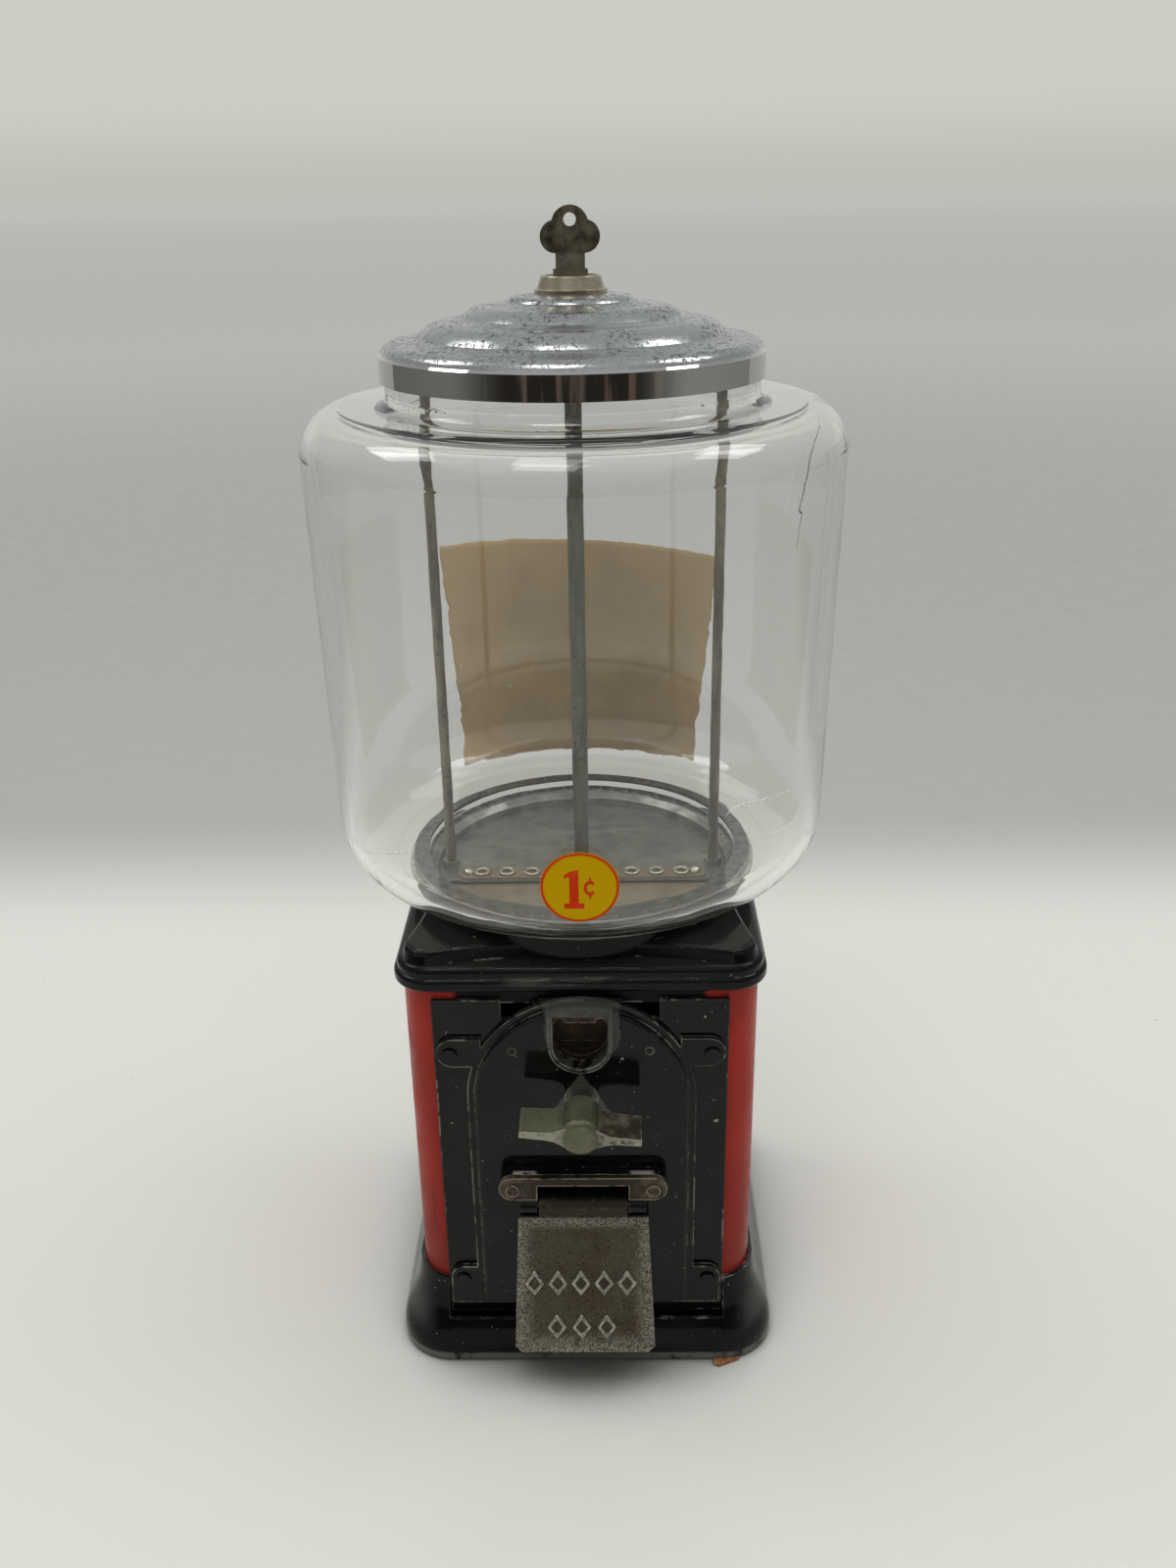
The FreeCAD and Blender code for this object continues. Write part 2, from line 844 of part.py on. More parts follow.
def mechanism_frame():
    frame = block(-frame_half, frame_half, frame_front_y, frame_back_y, frame_low, frame_high)
    frame = frame.cut(rod_y(bush_r + press_gap, frame_front_y - 1, frame_back_y + 1, 0, crank_z))
    for x, z in post_places():
        frame = frame.cut(rod_y(post_shank_r + press_gap, frame_front_y - 1, frame_back_y + 1, x, z))
    pin = rod_y(pawl_pin_r + press_gap, frame_front_y - 1, frame_back_y + 1, pawl_x, crank_z + pawl_up)
    return frame.cut(pin)


def spacer_posts():
    posts = []
    for x, z in post_places():
        post = rod_y(post_r, body_front, frame_front_y, x, z)
        post = post.fuse(rod_y(post_shank_r, panel_front, frame_back_y, x, z))
        post = post.fuse(rod_y(post_r + 0.6, frame_back_y, frame_back_y + 1.2, x, z))
        posts.append(post.removeSplitter())
    return Part.makeCompound(posts)


def coin_wheel():
    wheel = rod_y(coin_wheel_r, coin_wheel_front, coin_wheel_back, 0, crank_z)
    wheel = wheel.fuse(rod_y(wheel_hub_r, coin_wheel_back, ratchet_front, 0, crank_z)).removeSplitter()
    y0 = coin_wheel_front - 1
    y1 = coin_wheel_back + 0.001
    wheel = wheel.cut(u_shape(coin_half - 0.2, coin_u_z, crank_z + coin_wheel_r + 5, y0, y1))
    return wheel.cut(rod_y(shaft_r + press_gap, y0, ratchet_front + 1, 0, crank_z))


def ratchet_wheel():
    step = 2 * math.pi / ratchet_teeth
    root = ratchet_r - ratchet_depth
    points = []
    for i in range(ratchet_teeth):
        a = i * step
        for r in (root, ratchet_r):
            points.append((r * math.sin(a), crank_z + r * math.cos(a)))
    wheel = front_shape(points, ratchet_front, ratchet_back)
    return wheel.cut(rod_y(shaft_r + press_gap, ratchet_front - 1, ratchet_back + 1, 0, crank_z))


def pawl():
    nose = ratchet_r + pawl_lift
    points = [
        (-0.35, nose),
        (-0.35, nose + 2.4),
        (pawl_x + 1.6, pawl_up + 3.5),
        (pawl_x - 1.5, pawl_up - 3.5),
        (-2.4, nose + 0.25),
    ]
    z = crank_z + pawl_up
    arm = front_shape([(x, crank_z + rise) for x, rise in points], ratchet_front, ratchet_back)
    arm = arm.fuse(rod_y(pawl_boss_r, ratchet_front, ratchet_back, pawl_x, z)).removeSplitter()
    return arm.cut(rod_y(pawl_pin_r + run_gap, ratchet_front - 1, ratchet_back + 1, pawl_x, z))


def pawl_pin():
    z = crank_z + pawl_up
    pin = rod_y(pawl_pin_r, ratchet_front, frame_back_y, pawl_x, z)
    pin = pin.fuse(rod_y(pawl_pin_r + 1.0, frame_back_y, frame_back_y + 1.0, pawl_x, z))
    return pin.fuse(rod_y(pawl_pin_r + 1.0, ratchet_front - 1.0, ratchet_front - run_gap, pawl_x, z)).fuse(
        rod_y(pawl_pin_r, ratchet_front - 1.0, ratchet_front, pawl_x, z)).removeSplitter()


def pawl_spring():
    r_in = pawl_pin_r + press_gap
    r_out = pawl_pin_r + pawl_spring_wall
    z = crank_z + pawl_up
    return tube_y(r_in, r_out, ratchet_back + run_gap, frame_front_y, pawl_x, z)


def drive_pinion():
    step = 360.0 / pinion_teeth
    shares = [
        (pinion_pitch - 1.25 * gear_module, -0.27),
        (pinion_pitch, -0.18),
        (pinion_pitch + 0.95 * gear_module, -0.08),
        (pinion_pitch + 0.95 * gear_module, 0.08),
        (pinion_pitch, 0.18),
        (pinion_pitch - 1.25 * gear_module, 0.27),
    ]
    points = []
    for i in range(pinion_teeth):
        for r, share in shares:
            a = math.radians(step * (i + share))
            points.append((r * math.sin(a), crank_z + r * math.cos(a)))
    y0 = -crown_pitch - gear_face / 2.0
    y1 = -crown_pitch + gear_face / 2.0
    gear = front_shape(points, y0, y1)
    return gear.cut(rod_y(shaft_r + press_gap, y0 - 1, y1 + 1, 0, crank_z))


def crown_gear():
    r_in = crown_pitch - gear_face / 2.0
    r_out = crown_pitch + gear_face / 2.0
    teeth = ring(r_in, r_out, crown_tip_z, crown_root_z)
    slope = math.tan(math.radians(20))
    half = math.pi * gear_module / 4.0 + 0.12
    low = half + slope * (mesh_z - crown_tip_z)
    high = half - slope * (crown_root_z - mesh_z)
    profile = [(-low, crown_tip_z), (low, crown_tip_z), (high, crown_root_z), (-high, crown_root_z)]
    slot = front_shape(profile, -r_out - 1, -r_in + 1)
    slots = []
    for i in range(crown_teeth):
        copy = slot.copy()
        copy.rotate(vec(0, 0, 0), Z, 360.0 * i / crown_teeth)
        slots.append(copy)
    teeth = teeth.cut(Part.makeCompound(slots))
    disc = rod_z(r_out + 0.6, crown_root_z, crown_top_z)
    hub = rod_z(crown_hub_r, crown_hub_z, crown_top_z)
    gear = disc.fuse(hub).fuse(teeth).removeSplitter()
    return gear.cut(rod_z(rod_r + run_gap, crown_hub_z - 1, crown_top_z + 1))


def merchandise_wheel():
    wheel = rod_z(wheel_r, wheel_low, wheel_high)
    for i in range(pocket_count):
        pocket = block(-pocket_half, pocket_half, pocket_floor, wheel_r + 1, wheel_low - 1, wheel_high + 1)
        pocket.rotate(vec(0, 0, 0), Z, 360.0 / pocket_count * i)
        wheel = wheel.cut(pocket)
    return wheel.cut(rod_z(rod_r + run_gap, wheel_low - 1, wheel_high + 1))


def wheel_sleeve():
    return ring(rod_r + run_gap, wheel_hub_r, crown_top_z, wheel_low)


def wheel_collar():
    return ring(rod_r + press_gap, crown_hub_r, bracket_top, crown_hub_z - run_gap)


def rod_bracket():
    wall = body_half - body_wall
    half = bracket_half_width
    bar = block(-wall, wall, -half, half, bracket_z, bracket_top)
    for side in (-1, 1):
        outer = side * wall
        inner = side * (wall - bracket_thick)
        tab = block(min(outer, inner), max(outer, inner), -half, half, bracket_z - bracket_tab, bracket_z)
        bar = bar.fuse(tab)
    return bar.removeSplitter().cut(rod_z(rod_r + press_gap, bracket_z - 1, bracket_top + 1))


def centre_rod():
    rod = rod_z(rod_r, rod_low, rod_top_z)
    return rod.cut(rod_x(cross_pin_r + press_gap, -10, 10, 0, cross_pin_z))


def centre_rod_nuts():
    low = hex_nut(nut_big_r, rod_r + press_gap, bracket_z - nut_big_thick, bracket_z)
    high = hex_nut(nut_big_r, rod_r + press_gap, bridge_top, bridge_top + nut_thin_thick)
    return Part.makeCompound([low, high])


def rod_cross_pin():
    return rod_x(cross_pin_r, -cross_pin_half, cross_pin_half, 0, cross_pin_z)


def tie_rod(side):
    return rod_z(tie_r, ledge_z, bridge_top + nut_small_thick + 0.2, side * tie_x, 0)


def tie_rod_nuts():
    nuts = []
    for side in (-1, 1):
        x = side * tie_x
        nuts.append(hex_nut(nut_small_r, tie_r + press_gap, strike_top, strike_top + nut_small_thick, x))
        nuts.append(hex_nut(nut_small_r, tie_r + press_gap, bridge_top, bridge_top + nut_thin_thick, x))
    return Part.makeCompound(nuts)


def neck_bridge():
    half = bridge_width / 2.0
    bar = block(-bridge_half, bridge_half, -half, half, neck_rim_z, bridge_top)
    bar = bar.cut(rod_z(rod_r + press_gap, neck_rim_z - 1, bridge_top + 1))
    for side in (-1, 1):
        bar = bar.cut(rod_z(tie_r + press_gap, neck_rim_z - 1, bridge_top + 1, side * tie_x))
    return bar


def pincushion_wire(corner, side, z):
    """One level of the raised pad: a square with sides that bow inwards."""
    lean = corner - pad_cut * (1.0 - math.sqrt(0.5))
    edges = []
    for turn in range(4):
        a = math.radians(90 * turn)
        cos_a = math.cos(a)
        sin_a = math.sin(a)

        def place(x, y):
            return vec(x * cos_a - y * sin_a, x * sin_a + y * cos_a, z)

        low = place(corner, pad_cut - corner)
        high = place(corner, corner - pad_cut)
        edges.append(Part.Arc(low, place(side, 0), high).toShape())
        edges.append(Part.Arc(high, place(lean, lean), place(corner - pad_cut, corner)).toShape())
    return Part.Wire(edges)


def pincushion(inset, z0, z1):
    """The raised pad, eased along its upper edge."""
    levels = [(0.0, 0.0), (0.7, 0.35), (0.9, 0.6), (1.0, 1.0)]
    wires = []
    for share, ease in levels:
        step = inset + pad_taper * ease
        wires.append(pincushion_wire(pad_corner - step, pad_side - step, z0 + (z1 - z0) * share))
    return Part.makeLoft(wires, True, True)


def cap_solid(inset):
    """The pressed cap as a full block, or the hollow inside it."""
    half = cap_half - inset
    corner = cap_corner - inset
    low = cap_low - (1.0 if inset else 0.0)
    bead_top = cap_low + cap_bead - inset
    shelf = cap_shelf - inset
    bead = square_block(half, corner, low, bead_top)
    if not inset:
        edges = [e for e in bead.Edges if abs(e.BoundBox.ZLength) < 1e-6]
        bead = bead.makeFillet(cap_bead_round, edges)
    shoulder = square_block(half - cap_step, corner - cap_step, low + 1.0, shelf)
    if not inset:
        edges = [e for e in shoulder.Edges if e.BoundBox.ZMin > shelf - 1e-4]
        shoulder = shoulder.makeFillet(cap_step_round, edges)
    pad_top = cap_shelf + pad_rise - inset
    pad = pincushion(inset, shelf - 1.0, pad_top)
    foot_r = seat_r + seat_flare - inset
    crown = Part.makeCone(foot_r, seat_r - inset, seat_rise, vec(0, 0, shelf))
    if not inset:
        rim = [e for e in crown.Edges if e.BoundBox.ZMin > seat_z - 1e-4]
        crown = crown.makeFillet(seat_round, rim)
    return bead.fuse(shoulder).fuse(pad).fuse(crown).removeSplitter()


def top_cap():
    cap = cap_solid(0.0).cut(cap_solid(cap_wall))
    return cap.cut(rod_z(cap_hole_r, cap_low - 5, seat_z + 5))


def hopper_bowl():
    profile = [
        (flange_r, flange_z),
        (flange_in_r, flange_z),
        (throat_r, throat_z),
        (throat_r, ledge_z),
        (bowl_r, ledge_z),
        (bowl_r, bowl_floor_z),
        (wheel_hub_r + free_gap, bowl_floor_z),
        (wheel_hub_r + free_gap, bowl_under),
        (bowl_r + bowl_wall, bowl_under),
        (bowl_r + bowl_wall, ledge_z - 1.5),
        (throat_r + bowl_wall, ledge_z - 0.3),
        (throat_r + bowl_wall, seat_z),
        (flange_r, seat_z),
    ]
    bowl = turned(profile)
    return bowl.cut(rod_z(drop_hole_r, bowl_under - 1, bowl_floor_z + 1, 0, drop_y))


def strike_plate():
    plate = rod_z(throat_r - 0.1, ledge_z, strike_top)
    plate = plate.cut(block(-90, 90, -90, strike_chord, ledge_z - 1, strike_top + 1))
    plate = plate.cut(rod_z(rod_r + free_gap, ledge_z - 1, strike_top + 1))
    for side in (-1, 1):
        plate = plate.cut(rod_z(tie_r + press_gap, ledge_z - 1, strike_top + 1, side * tie_x))
        x = side * strike_rivet_x
        plate = plate.cut(rod_z(rivet_shank_r + press_gap, ledge_z - 1, strike_top + 1, x, strip_y()))
    return plate


def strip_y():
    return strike_chord + strip_width / 2.0


def strike_strip():
    y0 = strike_chord
    y1 = strike_chord + strip_width
    reach = strike_rivet_x
    strip = block(-reach, reach, y0, y1, strike_top, strip_top)
    for side in (-1, 1):
        strip = strip.fuse(rod_z(strip_width / 2.0, strike_top, strip_top, side * reach, strip_y()))
    step = 2.0 * strip_half / eyelet_count
    strip = strip.removeSplitter()
    for i in range(eyelet_count + 1):
        x = -strip_half + step * i
        strip = strip.fuse(rod_z(eyelet_r, strip_top, strip_top + eyelet_rise, x, strip_y()))
    strip = strip.removeSplitter()
    for i in range(eyelet_count + 1):
        x = -strip_half + step * i
        strip = strip.cut(rod_z(eyelet_hole_r, strip_top - 0.3, strip_top + 2, x, strip_y()))
    for side in (-1, 1):
        x = side * strike_rivet_x
        strip = strip.cut(rod_z(rivet_shank_r + press_gap, strike_top - 1, strip_top + 3, x, strip_y()))
    strip = strip.cut(rod_z(rod_r + free_gap, strike_top - 1, strip_top + 3))
    return strip


def strike_rivets():
    rivets = []
    for side in (-1, 1):
        x = side * strike_rivet_x
        shank = rod_z(rivet_shank_r, ledge_z, strip_top, x, strip_y())
        dome = Part.makeSphere(strike_rivet_r, vec(x, strip_y(), strip_top))
        dome = dome.common(block(x - 9, x + 9, -90, 90, strip_top, strip_top + 9))
        rivets.append(shank.fuse(dome).removeSplitter())
    return Part.makeCompound(rivets)


def drop_tube():
    return ring(drop_r, drop_r + drop_wall, drop_low, bowl_under, 0, drop_y)


def chute_floor_z(y):
    slope = (chute_back_z - chute_front_z) / (chute_back_y - chute_bend_y)
    return chute_front_z + slope * (y - chute_bend_y)


def gum_chute():
    lip_y = panel_front - chute_lip
    out = chute_half + chute_wall
    low = [
        (chute_back_y + chute_wall, chute_floor_z(chute_back_y) - chute_wall),
        (chute_back_y + chute_wall, drop_low),
        (drop_y - drop_r - drop_wall - 2.0, drop_low),
        (body_front, chute_front_z + chute_depth),
        (lip_y, chute_front_z + chute_depth * 0.6),
        (lip_y, chute_front_z - chute_wall - 0.8),
        (chute_bend_y, chute_front_z - chute_wall),
    ]
    trough = side_shape(low, -out, out)
    hollow = [
        (chute_back_y, chute_floor_z(chute_back_y)),
        (chute_back_y, drop_low + 30.0),
        (lip_y - 1.0, drop_low + 30.0),
        (lip_y - 1.0, chute_front_z - 0.8),
        (chute_bend_y, chute_front_z),
    ]
    trough = trough.cut(side_shape(hollow, -chute_half, chute_half))
    wide = chute_window_half + chute_flange_width
    y1 = body_front + chute_wall
    flange = block(-wide, wide, body_front, y1, chute_window_low - 4.0, chute_window_high + 3.0)
    mouth_top = chute_window_high - 2.0
    flange = flange.cut(block(-chute_half, chute_half, body_front - 1, y1 + 1, chute_front_z, mouth_top))
    return trough.fuse(flange).removeSplitter()


def globe_gasket():
    return ring(globe_foot_in, globe_foot_out, flange_z, globe_foot_z)


def wall_radius(z):
    """The outside radius of the globe's straight wall."""
    low = globe_bottom_z + globe_low_round
    high = globe_shoulder_z - globe_high_round
    return globe_low_r + (globe_high_r - globe_low_r) * (z - low) / (high - low)


def arc_edge(centre_r, centre_z, r, a0, a1):
    def at(a):
        t = math.radians(a)
        return vec(centre_r + r * math.cos(t), 0, centre_z + r * math.sin(t))

    return Part.Arc(at(a0), at((a0 + a1) / 2.0), at(a1)).toShape()


def line_edge(r0, z0, r1, z1):
    return Part.LineSegment(vec(r0, 0, z0), vec(r1, 0, z1)).toShape()


def globe_edges(inset):
    """The side of the glass, from its foot to its neck."""
    low_r = globe_low_r - globe_low_round
    low_z = globe_bottom_z + globe_low_round
    high_r = globe_high_r - globe_high_round
    high_z = globe_shoulder_z - globe_high_round
    low_round = globe_low_round - inset
    high_round = globe_high_round - inset
    neck = neck_r - (neck_wall if inset else 0.0)
    shoulder = globe_shoulder_z - inset
    bend = neck_round + inset
    return [
        arc_edge(low_r, low_z, low_round, -90, 0),
        line_edge(low_r + low_round, low_z, high_r + high_round, high_z),
        arc_edge(high_r, high_z, high_round, 0, 90),
        line_edge(high_r, shoulder, neck + bend, shoulder),
        arc_edge(neck + bend, shoulder + bend, bend, 270, 180),
        line_edge(neck, shoulder + bend, neck, neck_rim_z),
    ]


def globe():
    outer = globe_edges(0.0)
    inner = globe_edges(globe_wall)
    low_r = globe_low_r - globe_low_round
    edges = outer + inner
    edges.append(line_edge(neck_r, neck_rim_z, neck_in, neck_rim_z))
    floor = globe_bottom_z + globe_wall
    edges.append(line_edge(low_r, floor, globe_foot_in, floor - globe_floor_fall))
    edges.append(line_edge(globe_foot_in, floor - globe_floor_fall, globe_foot_in, globe_foot_z))
    edges.append(line_edge(globe_foot_in, globe_foot_z, globe_foot_out, globe_foot_z))
    edges.append(line_edge(globe_foot_out, globe_foot_z, globe_foot_out, globe_bottom_z - globe_foot_bend))
    edges.append(line_edge(globe_foot_out, globe_bottom_z - globe_foot_bend, low_r, globe_bottom_z))
    return turned_edges(Part.__sortEdges__(edges))


def skin(z0, z1):
    """A paper-thin layer just off the outside of the globe between two heights."""
    centre_r = globe_low_r - globe_low_round
    centre_z = globe_bottom_z + globe_low_round
    foot = math.asin(max(-1.0, min(0.0, (z0 - centre_z) / globe_low_round)))
    drop = math.degrees(foot)
    layers = []
    ends = []
    for off in (paper_gap, paper_gap + paper):
        r = globe_low_round + off
        top_r = wall_radius(z1) + off
        layers.append(arc_edge(centre_r, centre_z, r, drop, 0))
        layers.append(line_edge(centre_r + r, centre_z, top_r, z1))
        ends.append((centre_r + r * math.cos(foot), centre_z + r * math.sin(foot), top_r))
    inner = ends[0]
    outer = ends[1]
    layers.append(line_edge(inner[0], inner[1], outer[0], outer[1]))
    layers.append(line_edge(inner[2], z1, outer[2], z1))
    return turned_edges(Part.__sortEdges__(layers))


def price_sticker():
    reach = sticker_r + 6.0
    layer = skin(sticker_z - sticker_r - 1.0, sticker_z + reach)
    return layer.common(rod_y(sticker_r, -200, 0, sticker_x, sticker_z))


def back_label():
    layer = skin(label_low - 6.0, label_high + 8.0)
    outline = [
        (label_x - label_half_low, label_low),
        (label_x + label_half_low, label_low),
        (label_x + label_half_top, label_high),
        (label_x - label_half_top, label_high),
    ]
    sheet = front_shape(outline, 0, 200)
    sheet.rotate(vec(0, 0, (label_low + label_high) / 2.0), Y, label_tilt)
    return layer.common(sheet)


def lid_gasket():
    gasket = ring(neck_in, neck_r - 0.2, neck_rim_z, lid_seat_z)
    slot = bridge_width / 2.0 + free_gap
    return gasket.cut(block(-90, 90, -slot, slot, neck_rim_z - 1, lid_seat_z + 1))


def bulge(r0, z0, r1, z1, swell):
    """A curved step of the lid between two rings."""
    run = r1 - r0
    rise = z1 - z0
    length = math.hypot(run, rise)
    middle = vec((r0 + r1) / 2.0 + swell * rise / length, 0, (z0 + z1) / 2.0 - swell * run / length)
    return Part.Arc(vec(r0, 0, z0), middle, vec(r1, 0, z1)).toShape()


def lid_tiers():
    """The stepped profile of the lid: radius, drop from the top, and swell of the step that ends there."""
    return [
        (tier_1_foot_r, tier_1_foot_drop, rim_swell),
        (tier_1_top_r, tier_1_top_drop, -tier_dip),
        (tier_2_foot_r, tier_2_foot_drop, tier_swell),
        (tier_2_top_r, tier_2_top_drop, -tier_dip),
        (tier_3_foot_r, tier_3_foot_drop, rim_swell),
        (tier_3_top_r, tier_3_top_drop, -tier_dip),
        (button_r, button_drop, button_swell),
        (button_flat_r, 0.0, 0.0),
    ]


def lid():
    r = lid_r - lid_edge
    z = lid_rim_z + lid_edge
    edges = [line_edge(lid_r, lid_low, lid_r, lid_rim_z), line_edge(lid_r, lid_rim_z, r, z)]
    inner = []
    for tier_r, drop, swell in lid_tiers():
        tier_z = lid_top_z - drop
        if swell:
            edges.append(bulge(r, z, tier_r, tier_z, swell))
        else:
            edges.append(line_edge(r, z, tier_r, tier_z))
        r = tier_r
        z = tier_z
        if drop:
            inner.append((tier_r - lid_wall, tier_z - lid_wall))
    hole = barrel_r + press_gap
    edges.append(line_edge(r, z, hole, lid_top_z))
    skirt = neck_r + lid_skirt_gap
    seat_in = inner[0][0] - lid_wall
    inside = [(hole, lid_top_z), (hole, lid_top_z - lid_wall), (button_flat_r, lid_top_z - lid_wall)]
    inside += list(reversed(inner))
    inside += [(seat_in, lid_seat_z), (skirt, lid_seat_z), (skirt, lid_low), (lid_r, lid_low)]
    for before, after in zip(inside, inside[1:]):
        edges.append(line_edge(before[0], before[1], after[0], after[1]))
    return turned_edges(Part.__sortEdges__(edges))


def lock_body():
    profile = [
        (barrel_r, barrel_low),
        (barrel_r, lid_top_z),
        (collar_r, lid_top_z),
        (collar_r, lid_top_z + collar_flange),
        (collar_cone_r, lid_top_z + collar_flange + 0.4),
        (collar_top_r, collar_top_z - 0.3),
        (collar_top_r - 0.3, collar_top_z),
        (collar_top_r - collar_lip, collar_top_z),
        (collar_top_r - collar_lip - 0.2, plug_face_z),
        (plug_head_r + run_gap, plug_face_z),
        (plug_head_r + run_gap, plug_face_z - plug_head_thick - run_gap),
        (plug_r + run_gap, plug_face_z - plug_head_thick - run_gap),
        (plug_r + run_gap, barrel_low),
    ]
    return turned(profile)


def lock_nut():
    top = lid_top_z - lid_wall
    return hex_nut(lock_nut_r, barrel_r + press_gap, top - lock_nut_thick, top)


def lock_plug():
    profile = [
        (0, plug_cup_high),
        (plug_cup_r, plug_cup_high),
        (plug_cup_r, barrel_low),
        (plug_r, barrel_low),
        (plug_r, plug_face_z - plug_head_thick),
        (plug_head_r, plug_face_z - plug_head_thick),
        (plug_head_r, plug_face_z),
        (0, plug_face_z),
    ]
    plug = turned(profile)
    half = key_blade_half + run_gap
    thick = key_thick / 2.0 + run_gap
    return plug.cut(block(-half, half, -thick, thick, key_blade_low - 0.5, collar_top_z + 1))


def lock_tail():
    tail = rod_z(tail_r, barrel_low - tail_thick, barrel_low)
    tail = tail.cut(rod_z(rod_r + free_gap, barrel_low - tail_thick - 1, barrel_low + 1))
    half = cross_pin_half + free_gap
    thick = cross_pin_r + free_gap
    return tail.cut(block(-half, half, -thick, thick, barrel_low - tail_thick - 1, barrel_low + 1))


def key():
    y0 = -key_thick / 2.0
    y1 = key_thick / 2.0
    blade = block(-key_blade_half, key_blade_half, y0, y1, key_blade_low, collar_top_z + 1.0)
    wide = key_neck_half + key_stop
    shoulder = block(-wide, wide, y0, y1, plug_face_z + 0.1, collar_top_z + key_stop_high)
    stem = block(-key_neck_half, key_neck_half, y0, y1, collar_top_z + 1.0, key_bow_z)
    bow = rod_y(key_bow_half * 0.62, y0, y1, 0, key_bow_z + 1.9)
    for side in (-1, 1):
        bow = bow.fuse(rod_y(key_bow_half * 0.52, y0, y1, side * key_bow_half * 0.48, key_bow_z - 1.6))
    bow = bow.removeSplitter()
    shape = blade.fuse(shoulder).fuse(stem).fuse(bow).removeSplitter()
    return shape.cut(rod_y(key_hole_r, y0 - 1, y1 + 1, 0, key_hole_z))


save("base_pad", base_pad())
save("base_pan", base_pan())
save("bottom_plate", bottom_plate())
save("body_shell", body_shell())
save("front_plate", front_plate())
save("arch_plate", arch_plate())
save("arch_rivets", arch_rivets())
save("coin_guard", coin_guard())
save("coin_backstop", coin_backstop())
save("hinge_boss", hinge_boss())
save("hinge_bar", hinge_bar())
save("hinge_rivets", hinge_rivets())
save("hinge_pin", hinge_pin())
save("chute_door", chute_door())
save("handle", handle())
save("handle_screw", handle_screw())
save("handle_shaft", handle_shaft())
save("front_bush", front_bush())
save("rear_bush", rear_bush())
save("mechanism_frame", mechanism_frame())
save("spacer_posts", spacer_posts())
save("coin_wheel", coin_wheel())
save("ratchet_wheel", ratchet_wheel())
save("pawl", pawl())
save("pawl_pin", pawl_pin())
save("pawl_spring", pawl_spring())
save("drive_pinion", drive_pinion())
save("crown_gear", crown_gear())
save("merchandise_wheel", merchandise_wheel())
save("wheel_sleeve", wheel_sleeve())
save("wheel_collar", wheel_collar())
save("rod_bracket", rod_bracket())
save("centre_rod", centre_rod())
save("centre_rod_nuts", centre_rod_nuts())
save("rod_cross_pin", rod_cross_pin())
save("left_tie_rod", tie_rod(-1))
save("right_tie_rod", tie_rod(1))
save("tie_rod_nuts", tie_rod_nuts())
save("neck_bridge", neck_bridge())
save("top_cap", top_cap())
save("hopper_bowl", hopper_bowl())
save("strike_plate", strike_plate())
save("strike_strip", strike_strip())
save("strike_rivets", strike_rivets())
save("drop_tube", drop_tube())
save("gum_chute", gum_chute())
save("globe_gasket", globe_gasket())
save("globe", globe())
save("price_sticker", price_sticker())
save("back_label", back_label())
save("lid_gasket", lid_gasket())
save("lid", lid())
save("lock_body", lock_body())
save("lock_nut", lock_nut())
save("lock_plug", lock_plug())
save("lock_tail", lock_tail())
save("key", key())
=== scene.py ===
import math

import bmesh
import bpy
from bpy.props import FloatProperty, FloatVectorProperty, IntProperty, PointerProperty
from mathutils import Matrix, Vector, noise
from mathutils.bvhtree import BVHTree


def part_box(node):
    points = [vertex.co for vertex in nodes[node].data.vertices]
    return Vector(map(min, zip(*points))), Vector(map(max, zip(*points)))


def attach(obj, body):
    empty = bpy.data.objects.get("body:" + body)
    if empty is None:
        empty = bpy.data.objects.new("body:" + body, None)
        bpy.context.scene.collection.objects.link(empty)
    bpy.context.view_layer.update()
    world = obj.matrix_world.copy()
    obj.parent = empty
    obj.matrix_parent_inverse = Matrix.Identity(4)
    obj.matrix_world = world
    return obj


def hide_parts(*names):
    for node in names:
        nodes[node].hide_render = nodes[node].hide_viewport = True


bl_info = {
    "name": "Gumball machine",
    "version": (1, 0, 0),
    "blender": (4, 5, 0),
    "location": "3D View > Sidebar > Gumball machine",
    "description": "Finishes, labels and wear for a countertop gumball machine",
    "category": "Object",
}

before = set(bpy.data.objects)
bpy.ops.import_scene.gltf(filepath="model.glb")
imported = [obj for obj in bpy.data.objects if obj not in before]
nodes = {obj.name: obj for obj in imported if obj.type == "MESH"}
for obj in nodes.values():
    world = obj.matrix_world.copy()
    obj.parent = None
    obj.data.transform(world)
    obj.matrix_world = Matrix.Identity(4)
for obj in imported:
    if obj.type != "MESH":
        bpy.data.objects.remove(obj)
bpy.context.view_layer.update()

OUTSIDE = 0.3
PRINT_LIFT = 0.00006
PAPER_LIFT = 0.00034
PAPER_THICK = 0.0002


def colour_property(name, description, default):
    """A linear colour that a user can change."""
    return FloatVectorProperty(
        name=name, description=description, default=default, size=3, min=0.0, max=1.0, subtype="COLOR"
    )


def length_property(name, description, default):
    """A length in metres that a user can change."""
    return FloatProperty(
        name=name, description=description, default=default, unit="LENGTH", subtype="DISTANCE", precision=5
    )


def angle_property(name, description, default):
    """An angle that a user can change."""
    return FloatProperty(
        name=name, description=description, default=default, unit="ROTATION", subtype="ANGLE"
    )


